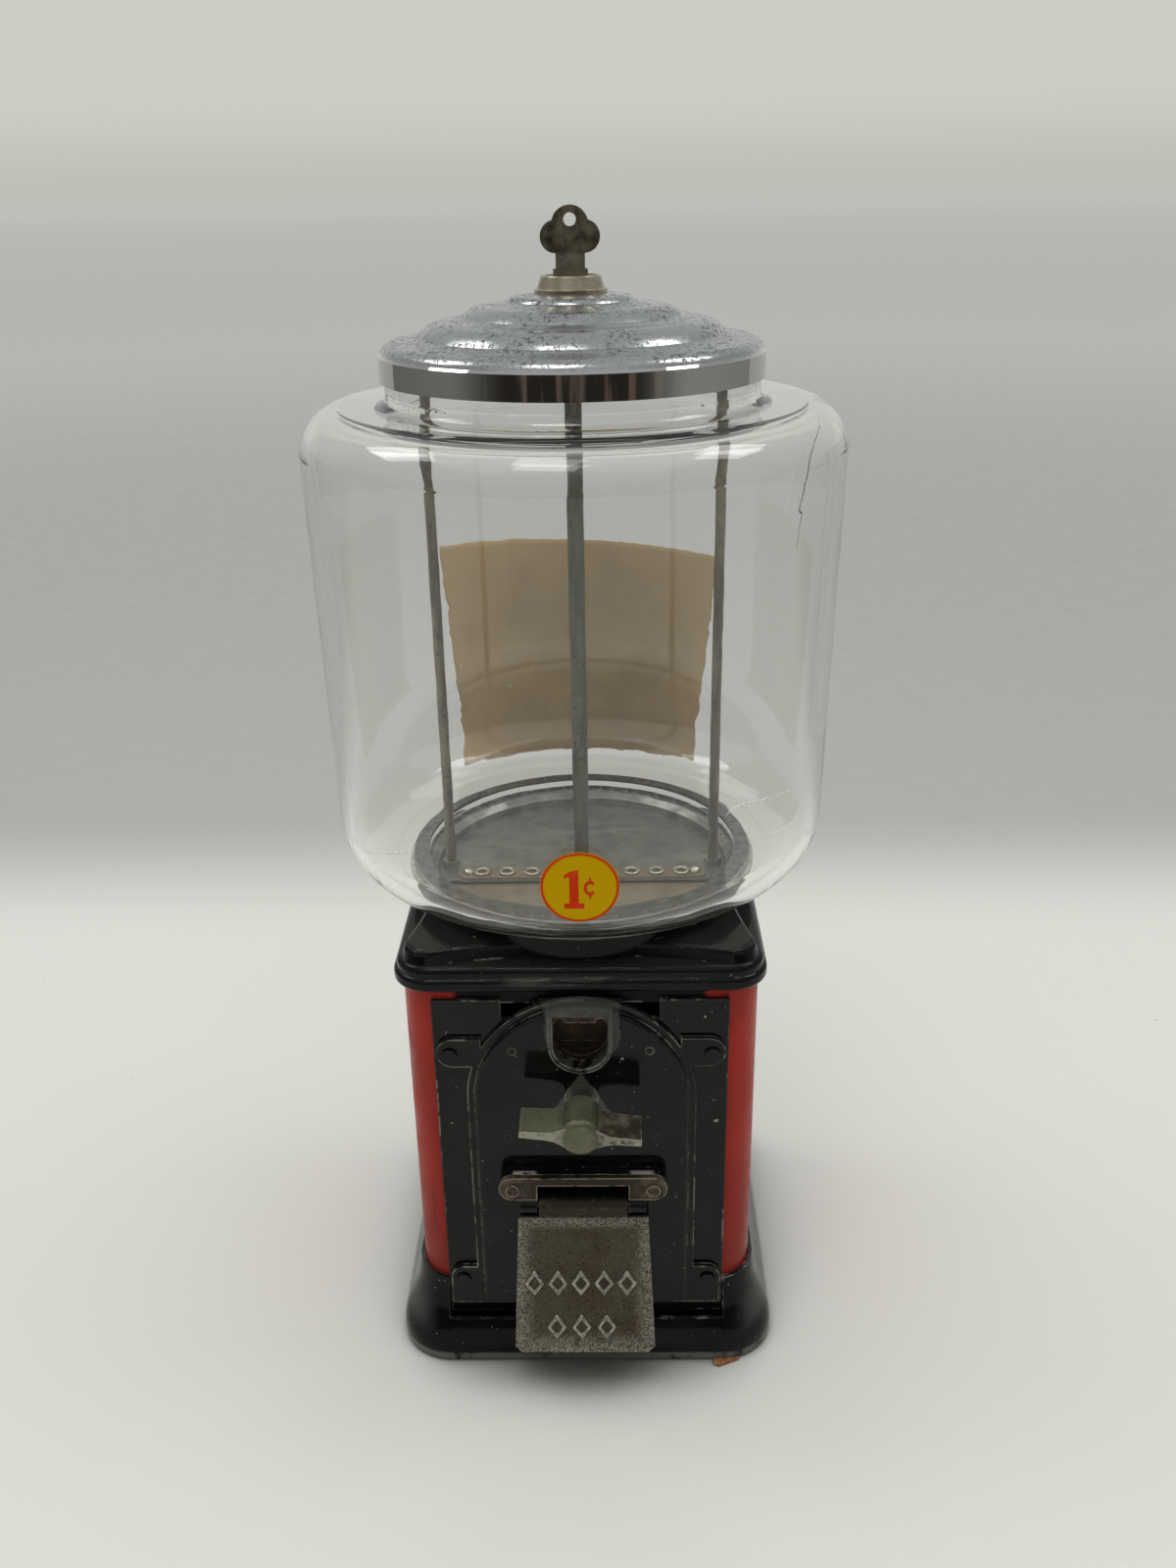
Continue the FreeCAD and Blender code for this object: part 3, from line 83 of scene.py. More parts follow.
class StageSettings(bpy.types.PropertyGroup):
    camera_place: FloatVectorProperty(
        name="Camera place",
        description="Where the camera stands",
        default=(0.012636, -0.490267, 0.435296),
        size=3,
        subtype="TRANSLATION",
        unit="LENGTH",
    )
    camera_yaw: angle_property("Camera yaw", "Turn of the camera about the vertical", -0.01979)
    camera_pitch: angle_property("Camera pitch", "How far the camera looks down", 0.41304)
    camera_roll: angle_property("Camera roll", "Lean of the camera about its line of sight", -0.01698)
    lens: FloatProperty(
        name="Lens", description="Focal length of the camera", default=31.63, unit="CAMERA"
    )
    floor_near: colour_property("Floor", "The board that the machine stands on", (0.700, 0.700, 0.664))
    # Painted shade: the grey that the floor turns to behind the machine, from the reach set below.
    floor_shade_band: colour_property("Floor behind", "Grey of the backdrop behind it", (0.405, 0.405, 0.380))
    floor_rise: colour_property("Backdrop foot", "The paler grey further back", (0.735, 0.733, 0.690))
    shade_band_start: length_property("Board reach", "How far the pale board reaches behind the machine", 0.36)
    skyline: colour_property("Skyline", "Where the floor meets the backdrop", (0.520, 0.520, 0.470))
    sky: colour_property("Backdrop", "The upper part of the backdrop", (0.610, 0.610, 0.545))
    key_power: FloatProperty(
        name="Top light", description="Power of the broad light above", default=7.4, unit="POWER"
    )
    lamp_power: FloatProperty(
        name="Lamps", description="Power of each of the three small lamps", default=3.6, unit="POWER"
    )
    card_reach: length_property("Card distance", "How far the dark card stands in front", 1.6)
    card_height: length_property("Card height", "Height of the dark card", 0.80)
    card_dark: colour_property("Card", "The dark room in front, seen in the chrome", (0.033, 0.027, 0.023))
    card_side: colour_property("Card ends", "The paler ends of the card", (0.265, 0.267, 0.258))


class PaintSettings(bpy.types.PropertyGroup):
    red: colour_property("Red enamel", "Paint of the cabinet's sides", (0.345, 0.024, 0.014))
    red_deep: colour_property("Aged red", "Darker patches in the red paint", (0.215, 0.018, 0.013))
    black: colour_property("Black enamel", "Paint of the base, front and cap", (0.0030, 0.0033, 0.0034))
    black_worn: colour_property("Dull black", "Rubbed patches in the black paint", (0.0085, 0.0088, 0.0086))
    chip: colour_property("Bare metal", "Metal that shows through chipped paint", (0.270, 0.258, 0.230))
    dust: colour_property("Dust", "Pale specks on the paint", (0.300, 0.300, 0.280))


class MetalSettings(bpy.types.PropertyGroup):
    zinc: colour_property("Zinc", "Cast zinc of the door", (0.082, 0.069, 0.046))
    zinc_pale: colour_property("Bright zinc", "Worn grains on the door's edges", (0.430, 0.405, 0.350))
    zinc_pit: colour_property("Zinc pits", "Dark pits in the door", (0.040, 0.030, 0.020))
    rust: colour_property("Rust", "Brown rust of the coin entry", (0.042, 0.019, 0.010))
    rust_pale: colour_property("Rubbed rust", "Rubbed metal of the coin entry", (0.105, 0.076, 0.050))
    olive: colour_property("Tarnish", "Tarnish on the handle", (0.170, 0.174, 0.102))
    olive_dark: colour_property("Dark tarnish", "The worn wing of the handle", (0.055, 0.042, 0.030))
    handle_pale: colour_property("Worn handle", "Bare edges of the handle", (0.430, 0.425, 0.360))
    chrome: colour_property("Chrome", "Plating of the lid", (0.600, 0.610, 0.595))
    chrome_pit: colour_property("Chrome pits", "Pits in the lid's plating", (0.075, 0.076, 0.073))
    nickel: colour_property("Nickel", "Plating of the lock", (0.500, 0.455, 0.340))
    key: colour_property("Key metal", "Dark tarnished key", (0.205, 0.180, 0.122))
    rod: colour_property("Rods", "Grey rods in the globe", (0.212, 0.186, 0.136))
    rod_dark: colour_property("Dark rod", "Stains on the rods", (0.060, 0.055, 0.045))
    plate: colour_property("Hopper zinc", "Mottled plate of the hopper", (0.245, 0.250, 0.232))
    plate_dark: colour_property("Hopper stains", "Dark mottling of the hopper", (0.110, 0.112, 0.105))
    wheel: colour_property("Wheel", "Tan top of the merchandise wheel", (0.215, 0.175, 0.115))
    wheel_dark: colour_property("Wheel stains", "Darker marks on the wheel", (0.155, 0.124, 0.082))
    steel: colour_property("Steel", "Plain steel of the mechanism", (0.330, 0.320, 0.295))
    brass: colour_property("Brass", "Dull brass of the bushes", (0.420, 0.300, 0.120))


class PaperSettings(bpy.types.PropertyGroup):
    label: colour_property("Back label", "Aged paper on the back of the globe", (0.525, 0.350, 0.150))
    label_stain: colour_property("Label stains", "Darker patches of the aged paper", (0.370, 0.240, 0.110))
    yellow: colour_property("Sticker", "Yellow paper of the price sticker", (0.585, 0.350, 0.001))
    print_red: colour_property("Print", "Red print on the sticker", (0.620, 0.036, 0.006))
    leather: colour_property("Pad", "Brown pad under the base", (0.420, 0.185, 0.066))
    leather_dark: colour_property("Pad stains", "Darker fibres of the pad", (0.130, 0.052, 0.020))
    putty: colour_property("Putty", "Grey sealing putty", (0.300, 0.308, 0.292))


class DetailSettings(bpy.types.PropertyGroup):
    ornament_width: length_property("Lozenge width", "Half the width of a lozenge on the door", 0.0030)
    ornament_height: length_property("Lozenge height", "Half the height of a lozenge on the door", 0.0042)
    ornament_stroke: length_property("Lozenge line", "Width of the raised line", 0.0012)
    ornament_rise: length_property("Lozenge rise", "How far the line stands off the door", 0.0008)
    thread_length: length_property("Thread length", "Threaded length at the foot of a side rod", 0.0085)
    thread_pitch: length_property("Thread pitch", "Rise of the thread in one turn", 0.00085)
    crack_width: length_property("Crack width", "Half the width of a crack in the glass", 0.00032)
    eyelet_pitch: length_property("Eyelet pitch", "From one eyelet of the strip to the next", 0.00975)
    eyelet_ring: length_property("Eyelet radius", "Middle radius of an eyelet's rolled rim", 0.0026)
    eyelet_roll: length_property("Eyelet roll", "Radius of the rolled rim", 0.00065)
    putty_bead: length_property("Putty bead", "Radius of the bead at the foot of the glass", 0.0008)
    label_seed: IntProperty(
        name="Label edge", description="Which torn edge the back label has", default=7, min=0, max=99
    )


def settings(group):
    """One group of the settings, such as paint or metal."""
    return getattr(bpy.context.scene, "gumball_" + group)


def opaque(colour):
    """A colour with full alpha."""
    return (colour[0], colour[1], colour[2], 1.0)


class Nodes:
    """The nodes of a material or of the world while they are joined up."""

    def __init__(self, tree):
        self.tree = tree
        self.tree.nodes.clear()

    def node(self, kind):
        return self.tree.nodes.new(kind)

    def join(self, source, target):
        self.tree.links.new(source, target)

    def feed(self, value, target):
        """Links a socket, or sets a plain value."""
        if isinstance(value, bpy.types.NodeSocket):
            self.join(value, target)
        elif hasattr(value, "__len__") and len(value) == 3 and len(target.default_value) == 4:
            target.default_value = opaque(value)
        else:
            target.default_value = value

    def ramp(self, value, low, high, start=0.0, end=1.0):
        """A value carried smoothly from start to end between low and high."""
        node = self.node("ShaderNodeMapRange")
        node.interpolation_type = "SMOOTHSTEP"
        self.feed(value, node.inputs["Value"])
        node.inputs["From Min"].default_value = low
        node.inputs["From Max"].default_value = high
        node.inputs["To Min"].default_value = start
        node.inputs["To Max"].default_value = end
        return node.outputs["Result"]

    def span(self, mask, start, end):
        """A mask from 0 to 1 carried from start to end."""
        return self.ramp(mask, 0.0, 1.0, start, end)

    def sum(self, operation, a, b=0.0):
        node = self.node("ShaderNodeMath")
        node.operation = operation
        self.feed(a, node.inputs[0])
        self.feed(b, node.inputs[1])
        return node.outputs[0]

    def add(self, a, b):
        return self.sum("ADD", a, b)

    def less(self, a, b):
        return self.sum("SUBTRACT", a, b)

    def size(self, value):
        """A value without its sign."""
        return self.sum("ABSOLUTE", value)

    def fold(self, operation, values):
        result = values[0]
        for value in values[1:]:
            result = self.sum(operation, result, value)
        return result

    def times(self, *values):
        """The product of several masks."""
        return self.fold("MULTIPLY", values)

    def most(self, *values):
        """The strongest of several masks."""
        return self.fold("MAXIMUM", values)

    def blend(self, share, a, b):
        """Colour a turning into colour b."""
        node = self.node("ShaderNodeMix")
        node.data_type = "RGBA"
        self.feed(share, node.inputs[0])
        self.feed(a, node.inputs[6])
        self.feed(b, node.inputs[7])
        return node.outputs[2]

    def split(self, vector):
        """The three parts of a vector."""
        node = self.node("ShaderNodeSeparateXYZ")
        self.join(vector, node.inputs[0])
        return node.outputs

    def mix(self, share, a, b, target):
        """One shader turning into another."""
        node = self.node("ShaderNodeMixShader")
        self.feed(share, node.inputs[0])
        self.join(a, node.inputs[1])
        self.join(b, node.inputs[2])
        self.join(node.outputs["Shader"], target)


class Finish(Nodes):
    """A material while it is built: its shader, its place on the piece and its colour so far."""

    def __init__(self, name, base):
        self.material = bpy.data.materials.new(name)
        self.material.use_nodes = True
        super().__init__(self.material.node_tree)
        self.output = self.node("ShaderNodeOutputMaterial")
        self.shader = self.node("ShaderNodeBsdfPrincipled")
        self.join(self.shader.outputs["BSDF"], self.output.inputs["Surface"])
        coordinates = self.node("ShaderNodeTexCoord")
        self.place = coordinates.outputs["Object"]
        self.axes = self.split(self.place)
        self.facings = self.split(coordinates.outputs["Normal"])
        self.tone = base

    def stretched(self, x, y, z):
        """The piece's coordinates scaled along each axis."""
        mapping = self.node("ShaderNodeMapping")
        mapping.inputs["Scale"].default_value = (x, y, z)
        self.join(self.place, mapping.inputs["Vector"])
        return mapping.outputs["Vector"]

    def speckle(self, scale, detail=4.0, rough=0.6, place=None):
        """Soft noise from 0 to 1."""
        texture = self.node("ShaderNodeTexNoise")
        texture.inputs["Scale"].default_value = scale
        texture.inputs["Detail"].default_value = detail
        texture.inputs["Roughness"].default_value = rough
        self.join(place or self.place, texture.inputs["Vector"])
        return texture.outputs[0]

    def spots(self, low, high, *speckle):
        """A mask that comes up where the noise rises from low to high."""
        return self.ramp(self.speckle(*speckle), low, high)

    def along(self, letter, low, high, start=0.0, end=1.0):
        """A mask that comes up between two places on an axis, in metres."""
        return self.ramp(self.axes[letter], low, high, start, end)

    def aside(self, low, high, start=0.0, end=1.0):
        """A mask that comes up on both sides of the middle, in metres."""
        return self.ramp(self.size(self.axes["X"]), low, high, start, end)

    def facing(self, letter, low, high):
        """A mask of the surfaces that face along an axis."""
        return self.ramp(self.facings[letter], low, high)

    def edges(self, radius):
        """A mask along the piece's edges."""
        rounded = self.node("ShaderNodeBevel")
        rounded.samples = 6
        rounded.inputs["Radius"].default_value = radius
        surface = self.node("ShaderNodeNewGeometry")
        product = self.node("ShaderNodeVectorMath")
        product.operation = "DOT_PRODUCT"
        self.join(rounded.outputs["Normal"], product.inputs[0])
        self.join(surface.outputs["Normal"], product.inputs[1])
        return self.ramp(self.less(1.0, product.outputs["Value"]), 0.004, 0.08)

    def layer(self, colour, *masks):
        """Lays a colour over the finish where all the masks are strong."""
        self.tone = self.blend(self.times(*masks), self.tone, colour)

    def roughness(self, value):
        self.feed(value, self.shader.inputs["Roughness"])

    def gloss(self, grain, start, end):
        """Roughness from start to end as a soft noise rises."""
        self.roughness(self.ramp(grain, 0.3, 0.7, start, end))

    def metal(self, value):
        self.feed(value, self.shader.inputs["Metallic"])

    def bump(self, height, depth, strength):
        node = self.node("ShaderNodeBump")
        node.inputs["Strength"].default_value = strength
        node.inputs["Distance"].default_value = depth
        self.join(height, node.inputs["Height"])
        self.join(node.outputs["Normal"], self.shader.inputs["Normal"])

    def open(self, share, tint):
        """Lets light straight through where the share is strong."""
        clear = self.node("ShaderNodeBsdfTransparent")
        clear.inputs["Color"].default_value = opaque(tint)
        surface = self.output.inputs["Surface"]
        self.mix(share, self.shader.outputs["BSDF"], clear.outputs["BSDF"], surface)

    def done(self, **values):
        """Sets plain numbers on the shader's own sockets and hands over the material."""
        for name, value in values.items():
            self.shader.inputs[name.replace("_", " ")].default_value = value
        self.feed(self.tone, self.shader.inputs["Base Color"])
        return self.material


def red_enamel():
    """Gloss red paint with faded patches, dark nicks and chipped edges."""
    paint = settings("paint")
    finish = Finish("red_enamel", paint.red)
    finish.layer(paint.red_deep, finish.spots(0.42, 0.68, 28.0, 5.0), 0.55)
    finish.layer((0.06, 0.018, 0.012), finish.along("Z", 0.075, 0.028), finish.speckle(60.0), 0.6)
    nicks = finish.spots(0.735, 0.755, 230.0, 2.0)
    lines = finish.spots(0.67, 0.70, 46.0, 3.0, 0.5, finish.stretched(4.0, 4.0, 0.22))
    lines = finish.times(lines, finish.along("X", 0.050, 0.060, 0.35, 1.0))
    finish.layer((0.035, 0.020, 0.016), finish.most(nicks, lines), 0.85)
    # Black along the front rail under the cap's lip and along the sill above the base: black paint, with
    # painted shade in these recesses.
    rail = finish.times(finish.along("Z", 0.1540, 0.1550), finish.aside(0.0470, 0.0440))
    sill = finish.along("Z", 0.0320, 0.0305)
    finish.layer(paint.black, finish.along("Y", -0.0640, -0.0650), finish.most(rail, sill))
    chips = finish.times(finish.edges(0.0012), finish.spots(0.50, 0.56, 190.0))
    finish.layer(paint.chip, chips)
    finish.roughness(finish.ramp(finish.speckle(75.0), 0.3, 0.75, 0.26, 0.46))
    finish.bump(finish.add(finish.times(finish.speckle(120.0), 0.4), chips), 0.0001, 0.35)
    return finish.done(Specular_IOR_Level=0.12)


def black_paint(name, edge_radius, edge_share):
    """Worn black paint, and the mask of its chips."""
    paint = settings("paint")
    finish = Finish(name, paint.black)
    finish.layer(paint.black_worn, finish.spots(0.45, 0.75, 34.0, 5.0))
    finish.layer(paint.dust, finish.spots(0.745, 0.765, 620.0, 1.5), 0.55)
    rims = finish.edges(edge_radius)
    finish.layer((0.060, 0.059, 0.055), rims, 0.30 * edge_share)
    worn = finish.spots(0.60 - 0.08 * edge_share, 0.66 - 0.08 * edge_share, 125.0, 6.0, 0.7)
    chips = finish.times(rims, worn, finish.spots(0.38, 0.62, 30.0, 2.0))
    return finish, finish.most(chips, finish.spots(0.765, 0.775, 150.0, 2.0))


def black_done(finish, chips, shine):
    """Bares the chips of black paint and gives it its gloss."""
    finish.layer(settings("paint").chip, chips)
    gloss = finish.ramp(finish.speckle(55.0), 0.3, 0.75, 0.06, 0.18)
    finish.roughness(finish.add(gloss, finish.times(chips, 0.35)))
    finish.bump(finish.less(finish.times(finish.speckle(95.0), 0.10), chips), 0.0001, 0.35)
    return finish.done(Specular_IOR_Level=shine)


def black_enamel(name, edge_radius, edge_share):
    """Gloss black paint with dust, rubbed patches and chipped edges."""
    finish, chips = black_paint(name, edge_radius, edge_share)
    return black_done(finish, chips, 0.22)


def base_enamel():
    """The base's black paint, paler on the upward slopes of its corners with dust and a painted highlight,
    and worn along its foot.
    """
    finish, chips = black_paint("base_enamel", 0.0010, 0.9)
    corner = finish.aside(0.058, 0.070)
    # Dust and a painted highlight: the upward slopes of the corners turn paler grey.
    slope = finish.times(corner, finish.facing("Z", 0.10, 0.50), finish.along("Z", 0.010, 0.018))
    finish.layer((0.058, 0.059, 0.055), slope, 0.9)
    scuffs = finish.times(finish.spots(0.655, 0.685, 105.0, 3.0, 0.6), corner)
    worn = finish.times(finish.along("Z", 0.0050, 0.0034), finish.spots(0.34, 0.44, 60.0, 5.0, 0.65))
    finish.layer((0.160, 0.157, 0.148), worn, 0.75)
    return black_done(finish, finish.most(chips, scuffs), 0.15)


def cap_enamel():
    """The cap's black paint, rubbed along the middle of its front lip."""
    finish, chips = black_paint("cap_enamel", 0.0010, 0.5)
    # Upward faces a little paler: dust, with a painted sheen.
    finish.layer((0.018, 0.019, 0.017), finish.facing("Z", 0.80, 0.96), 0.6)
    lip = finish.times(finish.along("Z", 0.1750, 0.1741), finish.along("Z", 0.1710, 0.1718))
    lip = finish.times(lip, finish.along("Y", -0.0640, -0.0672))
    reach = finish.ramp(finish.size(finish.add(finish.axes["X"], 0.0065)), 0.024, 0.014)
    streak = finish.spots(0.36, 0.54, 110.0, 5.0, 0.65, finish.stretched(0.30, 1.0, 2.2))
    finish.layer((0.110, 0.107, 0.098), lip, reach, streak, 0.42)
    return black_done(finish, chips, 0.17)


def boss_enamel():
    """The hinge boss's black paint, chipped to pale metal above both ends of the bar."""
    finish, chips = black_paint("boss_enamel", 0.0009, 0.6)
    band = finish.times(finish.aside(0.0165, 0.0190), finish.aside(0.0275, 0.0250))
    band = finish.times(band, finish.along("Y", -0.0738, -0.0752), finish.along("Z", 0.0900, 0.0915))
    finish.layer(settings("paint").chip, band, finish.spots(0.40, 0.48, 210.0, 5.0, 0.65))
    return black_done(finish, chips, 0.22)


def arch_enamel():
    """The arch's black paint, worn through round the coin entry and above the handle."""
    finish, chips = black_paint("arch_enamel", 0.0011, 1.6)
    ragged = finish.times(finish.less(finish.speckle(260.0), 0.5), 0.0022)
    slope = finish.times(finish.less(0.1375, finish.axes["Z"]), 0.62)
    inside = finish.add(finish.less(slope, finish.size(finish.axes["X"])), ragged)
    cone = finish.times(finish.ramp(inside, 0.0, 0.0006), finish.along("Z", 0.117, 0.121), 0.9)
    drop = finish.sum("MINIMUM", finish.less(finish.axes["Z"], 0.1530), 0.0)
    across = finish.less(finish.axes["X"], 0.0008)
    reach = finish.sum("SQRT", finish.add(finish.times(across, across), finish.times(drop, drop)))
    ragged = finish.times(finish.less(finish.speckle(150.0, 5.0), 0.5), 0.0075)
    halo = finish.times(finish.ramp(finish.add(reach, ragged), 0.0138, 0.0130), 0.6)
    finish.layer((0.078, 0.077, 0.072), finish.most(cone, halo))
    rubbed = finish.times(finish.along("Y", -0.0726, -0.0731), finish.spots(0.38, 0.56, 140.0, 5.0, 0.65))
    finish.layer((0.082, 0.081, 0.076), rubbed, 0.85)
    return black_done(finish, chips, 0.22)


def pitted_zinc():
    """Cast zinc gone brown in the middle and grainy at its edges."""
    metal = settings("metal")
    finish = Finish("pitted_zinc", metal.zinc)
    grain = finish.speckle(1500.0, 3.0, 0.7)
    brow = finish.times(finish.along("Z", 0.0720, 0.0745), finish.along("Z", 0.0780, 0.0768), 0.7)
    border = finish.most(finish.aside(0.0175, 0.0255), finish.along("Z", 0.030, 0.021), brow)
    finish.layer((0.058, 0.043, 0.028), finish.spots(0.40, 0.70, 65.0, 5.0))
    finish.layer((0.026, 0.021, 0.014), finish.spots(0.54, 0.62, 720.0, 3.0, 0.65), 0.6)
    finish.layer(metal.zinc_pale, finish.ramp(grain, 0.55, 0.75), 0.30)
    rims = finish.most(border, finish.edges(0.0010))
    finish.layer(metal.zinc_pale, rims, finish.ramp(grain, 0.40, 0.62), 0.75)
    # Painted shade: the hinge barrel at the top of the door darkens under the bar.
    finish.layer((0.034, 0.029, 0.020), finish.along("Z", 0.0768, 0.0785), 0.80)
    pits = finish.spots(0.60, 0.67, 430.0, 2.5)
    finish.layer(metal.zinc_pit, pits, 0.85)
    finish.layer(metal.rust, finish.spots(0.64, 0.72, 90.0, 3.0), finish.most(border, 0.35), 0.8)
    finish.metal(finish.span(pits, 0.80, 0.25))
    finish.gloss(grain, 0.58, 0.36)
    finish.bump(finish.less(finish.times(grain, 0.6), pits), 0.0003, 0.55)
    return finish.done()


def bright_zinc():
    """Rubbed zinc of the raised ornament."""
    finish = Finish("bright_zinc", settings("metal").zinc_pale)
    grain = finish.speckle(900.0, 3.0, 0.7)
    finish.layer((0.150, 0.132, 0.100), finish.ramp(grain, 0.40, 0.70))
    finish.gloss(grain, 0.30, 0.52)
    finish.bump(grain, 0.0001, 0.4)
    return finish.done(Metallic=0.8)


def rusty_steel(name, rust, rubbed):
    """Brown rusted steel, rubbed pale along its edges and painted black at its top."""
    finish = Finish(name, rust)
    cloud = finish.spots(0.35, 0.68, 150.0, 6.0)
    finish.layer(rubbed, cloud)
    finish.layer((0.030, 0.020, 0.014), finish.spots(0.60, 0.68, 330.0, 3.0), 0.8)
    finish.layer((0.150, 0.122, 0.086), finish.aside(0.017, 0.026), finish.spots(0.35, 0.60, 260.0), 0.55)
    finish.layer((0.42, 0.36, 0.26), finish.edges(0.0009), finish.spots(0.36, 0.52, 240.0), 0.8)
    painted = finish.along("Z", 0.1600, 0.1615)
    finish.layer(settings("paint").black, painted)
    finish.metal(finish.times(finish.span(cloud, 0.35, 0.80), finish.span(painted, 1.0, 0.0)))
    finish.roughness(finish.span(cloud, 0.62, 0.38))
    finish.bump(finish.speckle(420.0), 0.0002, 0.5)
    return finish.done()


def handle_casting():
    """Tarnished casting: olive on one wing, dark on the other, bright on its worn edges."""
    metal = settings("metal")
    finish = Finish("handle_casting", metal.olive)
    finish.layer((0.132, 0.136, 0.082), finish.spots(0.35, 0.70, 120.0, 5.0))
    dark_side = finish.along("X", 0.0035, 0.0075)
    finish.layer(metal.olive_dark, dark_side, finish.spots(0.33, 0.52, 160.0))
    rubbed = finish.times(dark_side, finish.along("X", 0.011, 0.015), finish.spots(0.50, 0.62, 90.0))
    finish.layer((0.215, 0.205, 0.180), rubbed, 0.55)
    grime = finish.span(finish.spots(0.35, 0.68, 190.0, 5.0, 0.65), 0.35, 0.75)
    finish.layer((0.082, 0.079, 0.052), finish.aside(0.0090, 0.0060), grime)
    front = finish.times(finish.facing("Y", -0.55, -0.85), finish.aside(0.0055, 0.0080, 0.05, 0.62))
    front = finish.times(front, finish.spots(0.36, 0.56, 420.0, 4.0, 0.7))
    rims = finish.times(finish.edges(0.0010), finish.spots(0.36, 0.50, 180.0))
    finish.layer(metal.handle_pale, finish.most(front, rims), 0.9)
    finish.metal(finish.span(rims, 0.62, 0.85))
    finish.gloss(finish.speckle(210.0), 0.52, 0.34)
    finish.bump(finish.speckle(300.0), 0.00015, 0.45)
    return finish.done()


def pitted_chrome():
    """Chrome plate, clean on the skirt and closely pitted over the steps."""
    metal = settings("metal")
    finish = Finish("pitted_chrome", metal.chrome)
    dome = finish.along("Z", 0.3825, 0.3850)
    clusters = finish.times(finish.spots(0.52, 0.58, 620.0, 4.0, 0.7), finish.spots(0.30, 0.58, 46.0))
    fine = finish.times(finish.spots(0.56, 0.62, 1500.0, 2.0), 0.7)
    pits = finish.times(finish.most(clusters, fine), finish.most(dome, 0.05))
    haze = finish.times(dome, finish.spots(0.35, 0.75, 300.0))
    finish.layer((0.540, 0.555, 0.560), dome)
    finish.layer((0.36, 0.375, 0.385), haze, 0.35)
    finish.layer(metal.chrome_pit, pits, 0.95)
    finish.metal(finish.span(pits, 1.0, 0.55))
    dull = finish.add(finish.times(haze, 0.16), finish.times(pits, 0.3))
    finish.roughness(finish.add(dull, finish.span(dome, 0.04, 0.14)))
    finish.bump(finish.less(1.0, pits), 0.00002, 0.25)
    return finish.done()


def worn_nickel():
    """Warm nickel plate with fine scratches."""
    finish = Finish("worn_nickel", settings("metal").nickel)
    finish.layer((0.345, 0.308, 0.220), finish.spots(0.35, 0.70, 230.0, 5.0))
    finish.layer((0.50, 0.45, 0.35), finish.edges(0.0006), 0.4)
    fine = finish.speckle(900.0, 3.0, 0.6, finish.stretched(1.0, 1.0, 6.0))
    finish.gloss(fine, 0.22, 0.40)
    finish.bump(fine, 0.00006, 0.3)
    return finish.done(Metallic=1.0)


def dark_key_metal():
    """Dark tarnished key stock, rubbed at its rim."""
    finish = Finish("dark_key_metal", settings("metal").key)
    finish.layer((0.050, 0.043, 0.031), finish.spots(0.35, 0.70, 260.0, 5.0))
    finish.layer((0.265, 0.245, 0.195), finish.along("Z", 0.4135, 0.4120), 0.75)
    finish.layer((0.30, 0.275, 0.21), finish.edges(0.0006), 0.6)
    finish.gloss(finish.speckle(420.0), 0.34, 0.54)
    finish.bump(finish.speckle(520.0, 3.0), 0.00008, 0.35)
    return finish.done(Metallic=0.8)


def rod_steel(name, base, stain, grain_depth):
    """Rough grey rod with stains that run along it."""
    finish = Finish(name, base)
    finish.layer(stain, finish.spots(0.38, 0.66, 140.0, 5.0, 0.6, finish.stretched(1.0, 1.0, 0.25)))
    finish.layer((0.035, 0.030, 0.024), finish.spots(0.58, 0.66, 650.0, 3.0), 0.7)
    finish.gloss(finish.speckle(380.0), 0.42, 0.66)
    finish.bump(finish.speckle(820.0), grain_depth, 0.6)
    return finish.done(Metallic=0.6)


def mottled_plate(name, rim_shine):
    """Grey plate with cloudy dark mottling."""
    metal = settings("metal")
    finish = Finish(name, metal.plate)
    cloud = finish.spots(0.36, 0.66, 85.0, 6.0, 0.65)
    finish.layer(metal.plate_dark, cloud, 0.8)
    smear = finish.spots(0.50, 0.70, 60.0, 4.0, 0.6, finish.stretched(0.35, 2.0, 1.0))
    finish.layer((0.40, 0.395, 0.36), smear, 0.45)
    finish.layer((0.06, 0.055, 0.045), finish.spots(0.66, 0.72, 520.0, 2.0), 0.6)
    finish.layer((0.66, 0.66, 0.62), finish.edges(0.0008), rim_shine)
    finish.roughness(finish.span(cloud, 0.36, 0.56))
    finish.bump(finish.speckle(260.0, 5.0), 0.00012, 0.4)
    return finish.done(Metallic=0.7)


def tan_wheel_metal():
    """Tan stained casting of the merchandise wheel."""
    metal = settings("metal")
    finish = Finish("tan_wheel_metal", metal.wheel)
    cloud = finish.spots(0.38, 0.68, 70.0, 6.0, 0.65)
    finish.layer(metal.wheel_dark, cloud)
    rub = finish.spots(0.54, 0.72, 45.0, 4.0, 0.6, finish.stretched(0.3, 2.4, 1.0))
    finish.layer((0.30, 0.26, 0.20), rub, 0.4)
    finish.roughness(finish.span(cloud, 0.50, 0.68))
    finish.bump(finish.speckle(300.0), 0.00012, 0.4)
    return finish.done(Metallic=0.25)


def plain_metal(name, base, dark, rough):
    """Machined metal with light stains and rubbed edges."""
    finish = Finish(name, base)
    finish.layer(dark, finish.spots(0.38, 0.70, 120.0, 5.0))
    finish.layer((0.60, 0.58, 0.52), finish.edges(0.0006), 0.45)
    finish.gloss(finish.speckle(260.0), rough - 0.08, rough + 0.12)
    finish.bump(finish.speckle(480.0, 3.0), 0.00008, 0.35)
    return finish.done(Metallic=0.9)


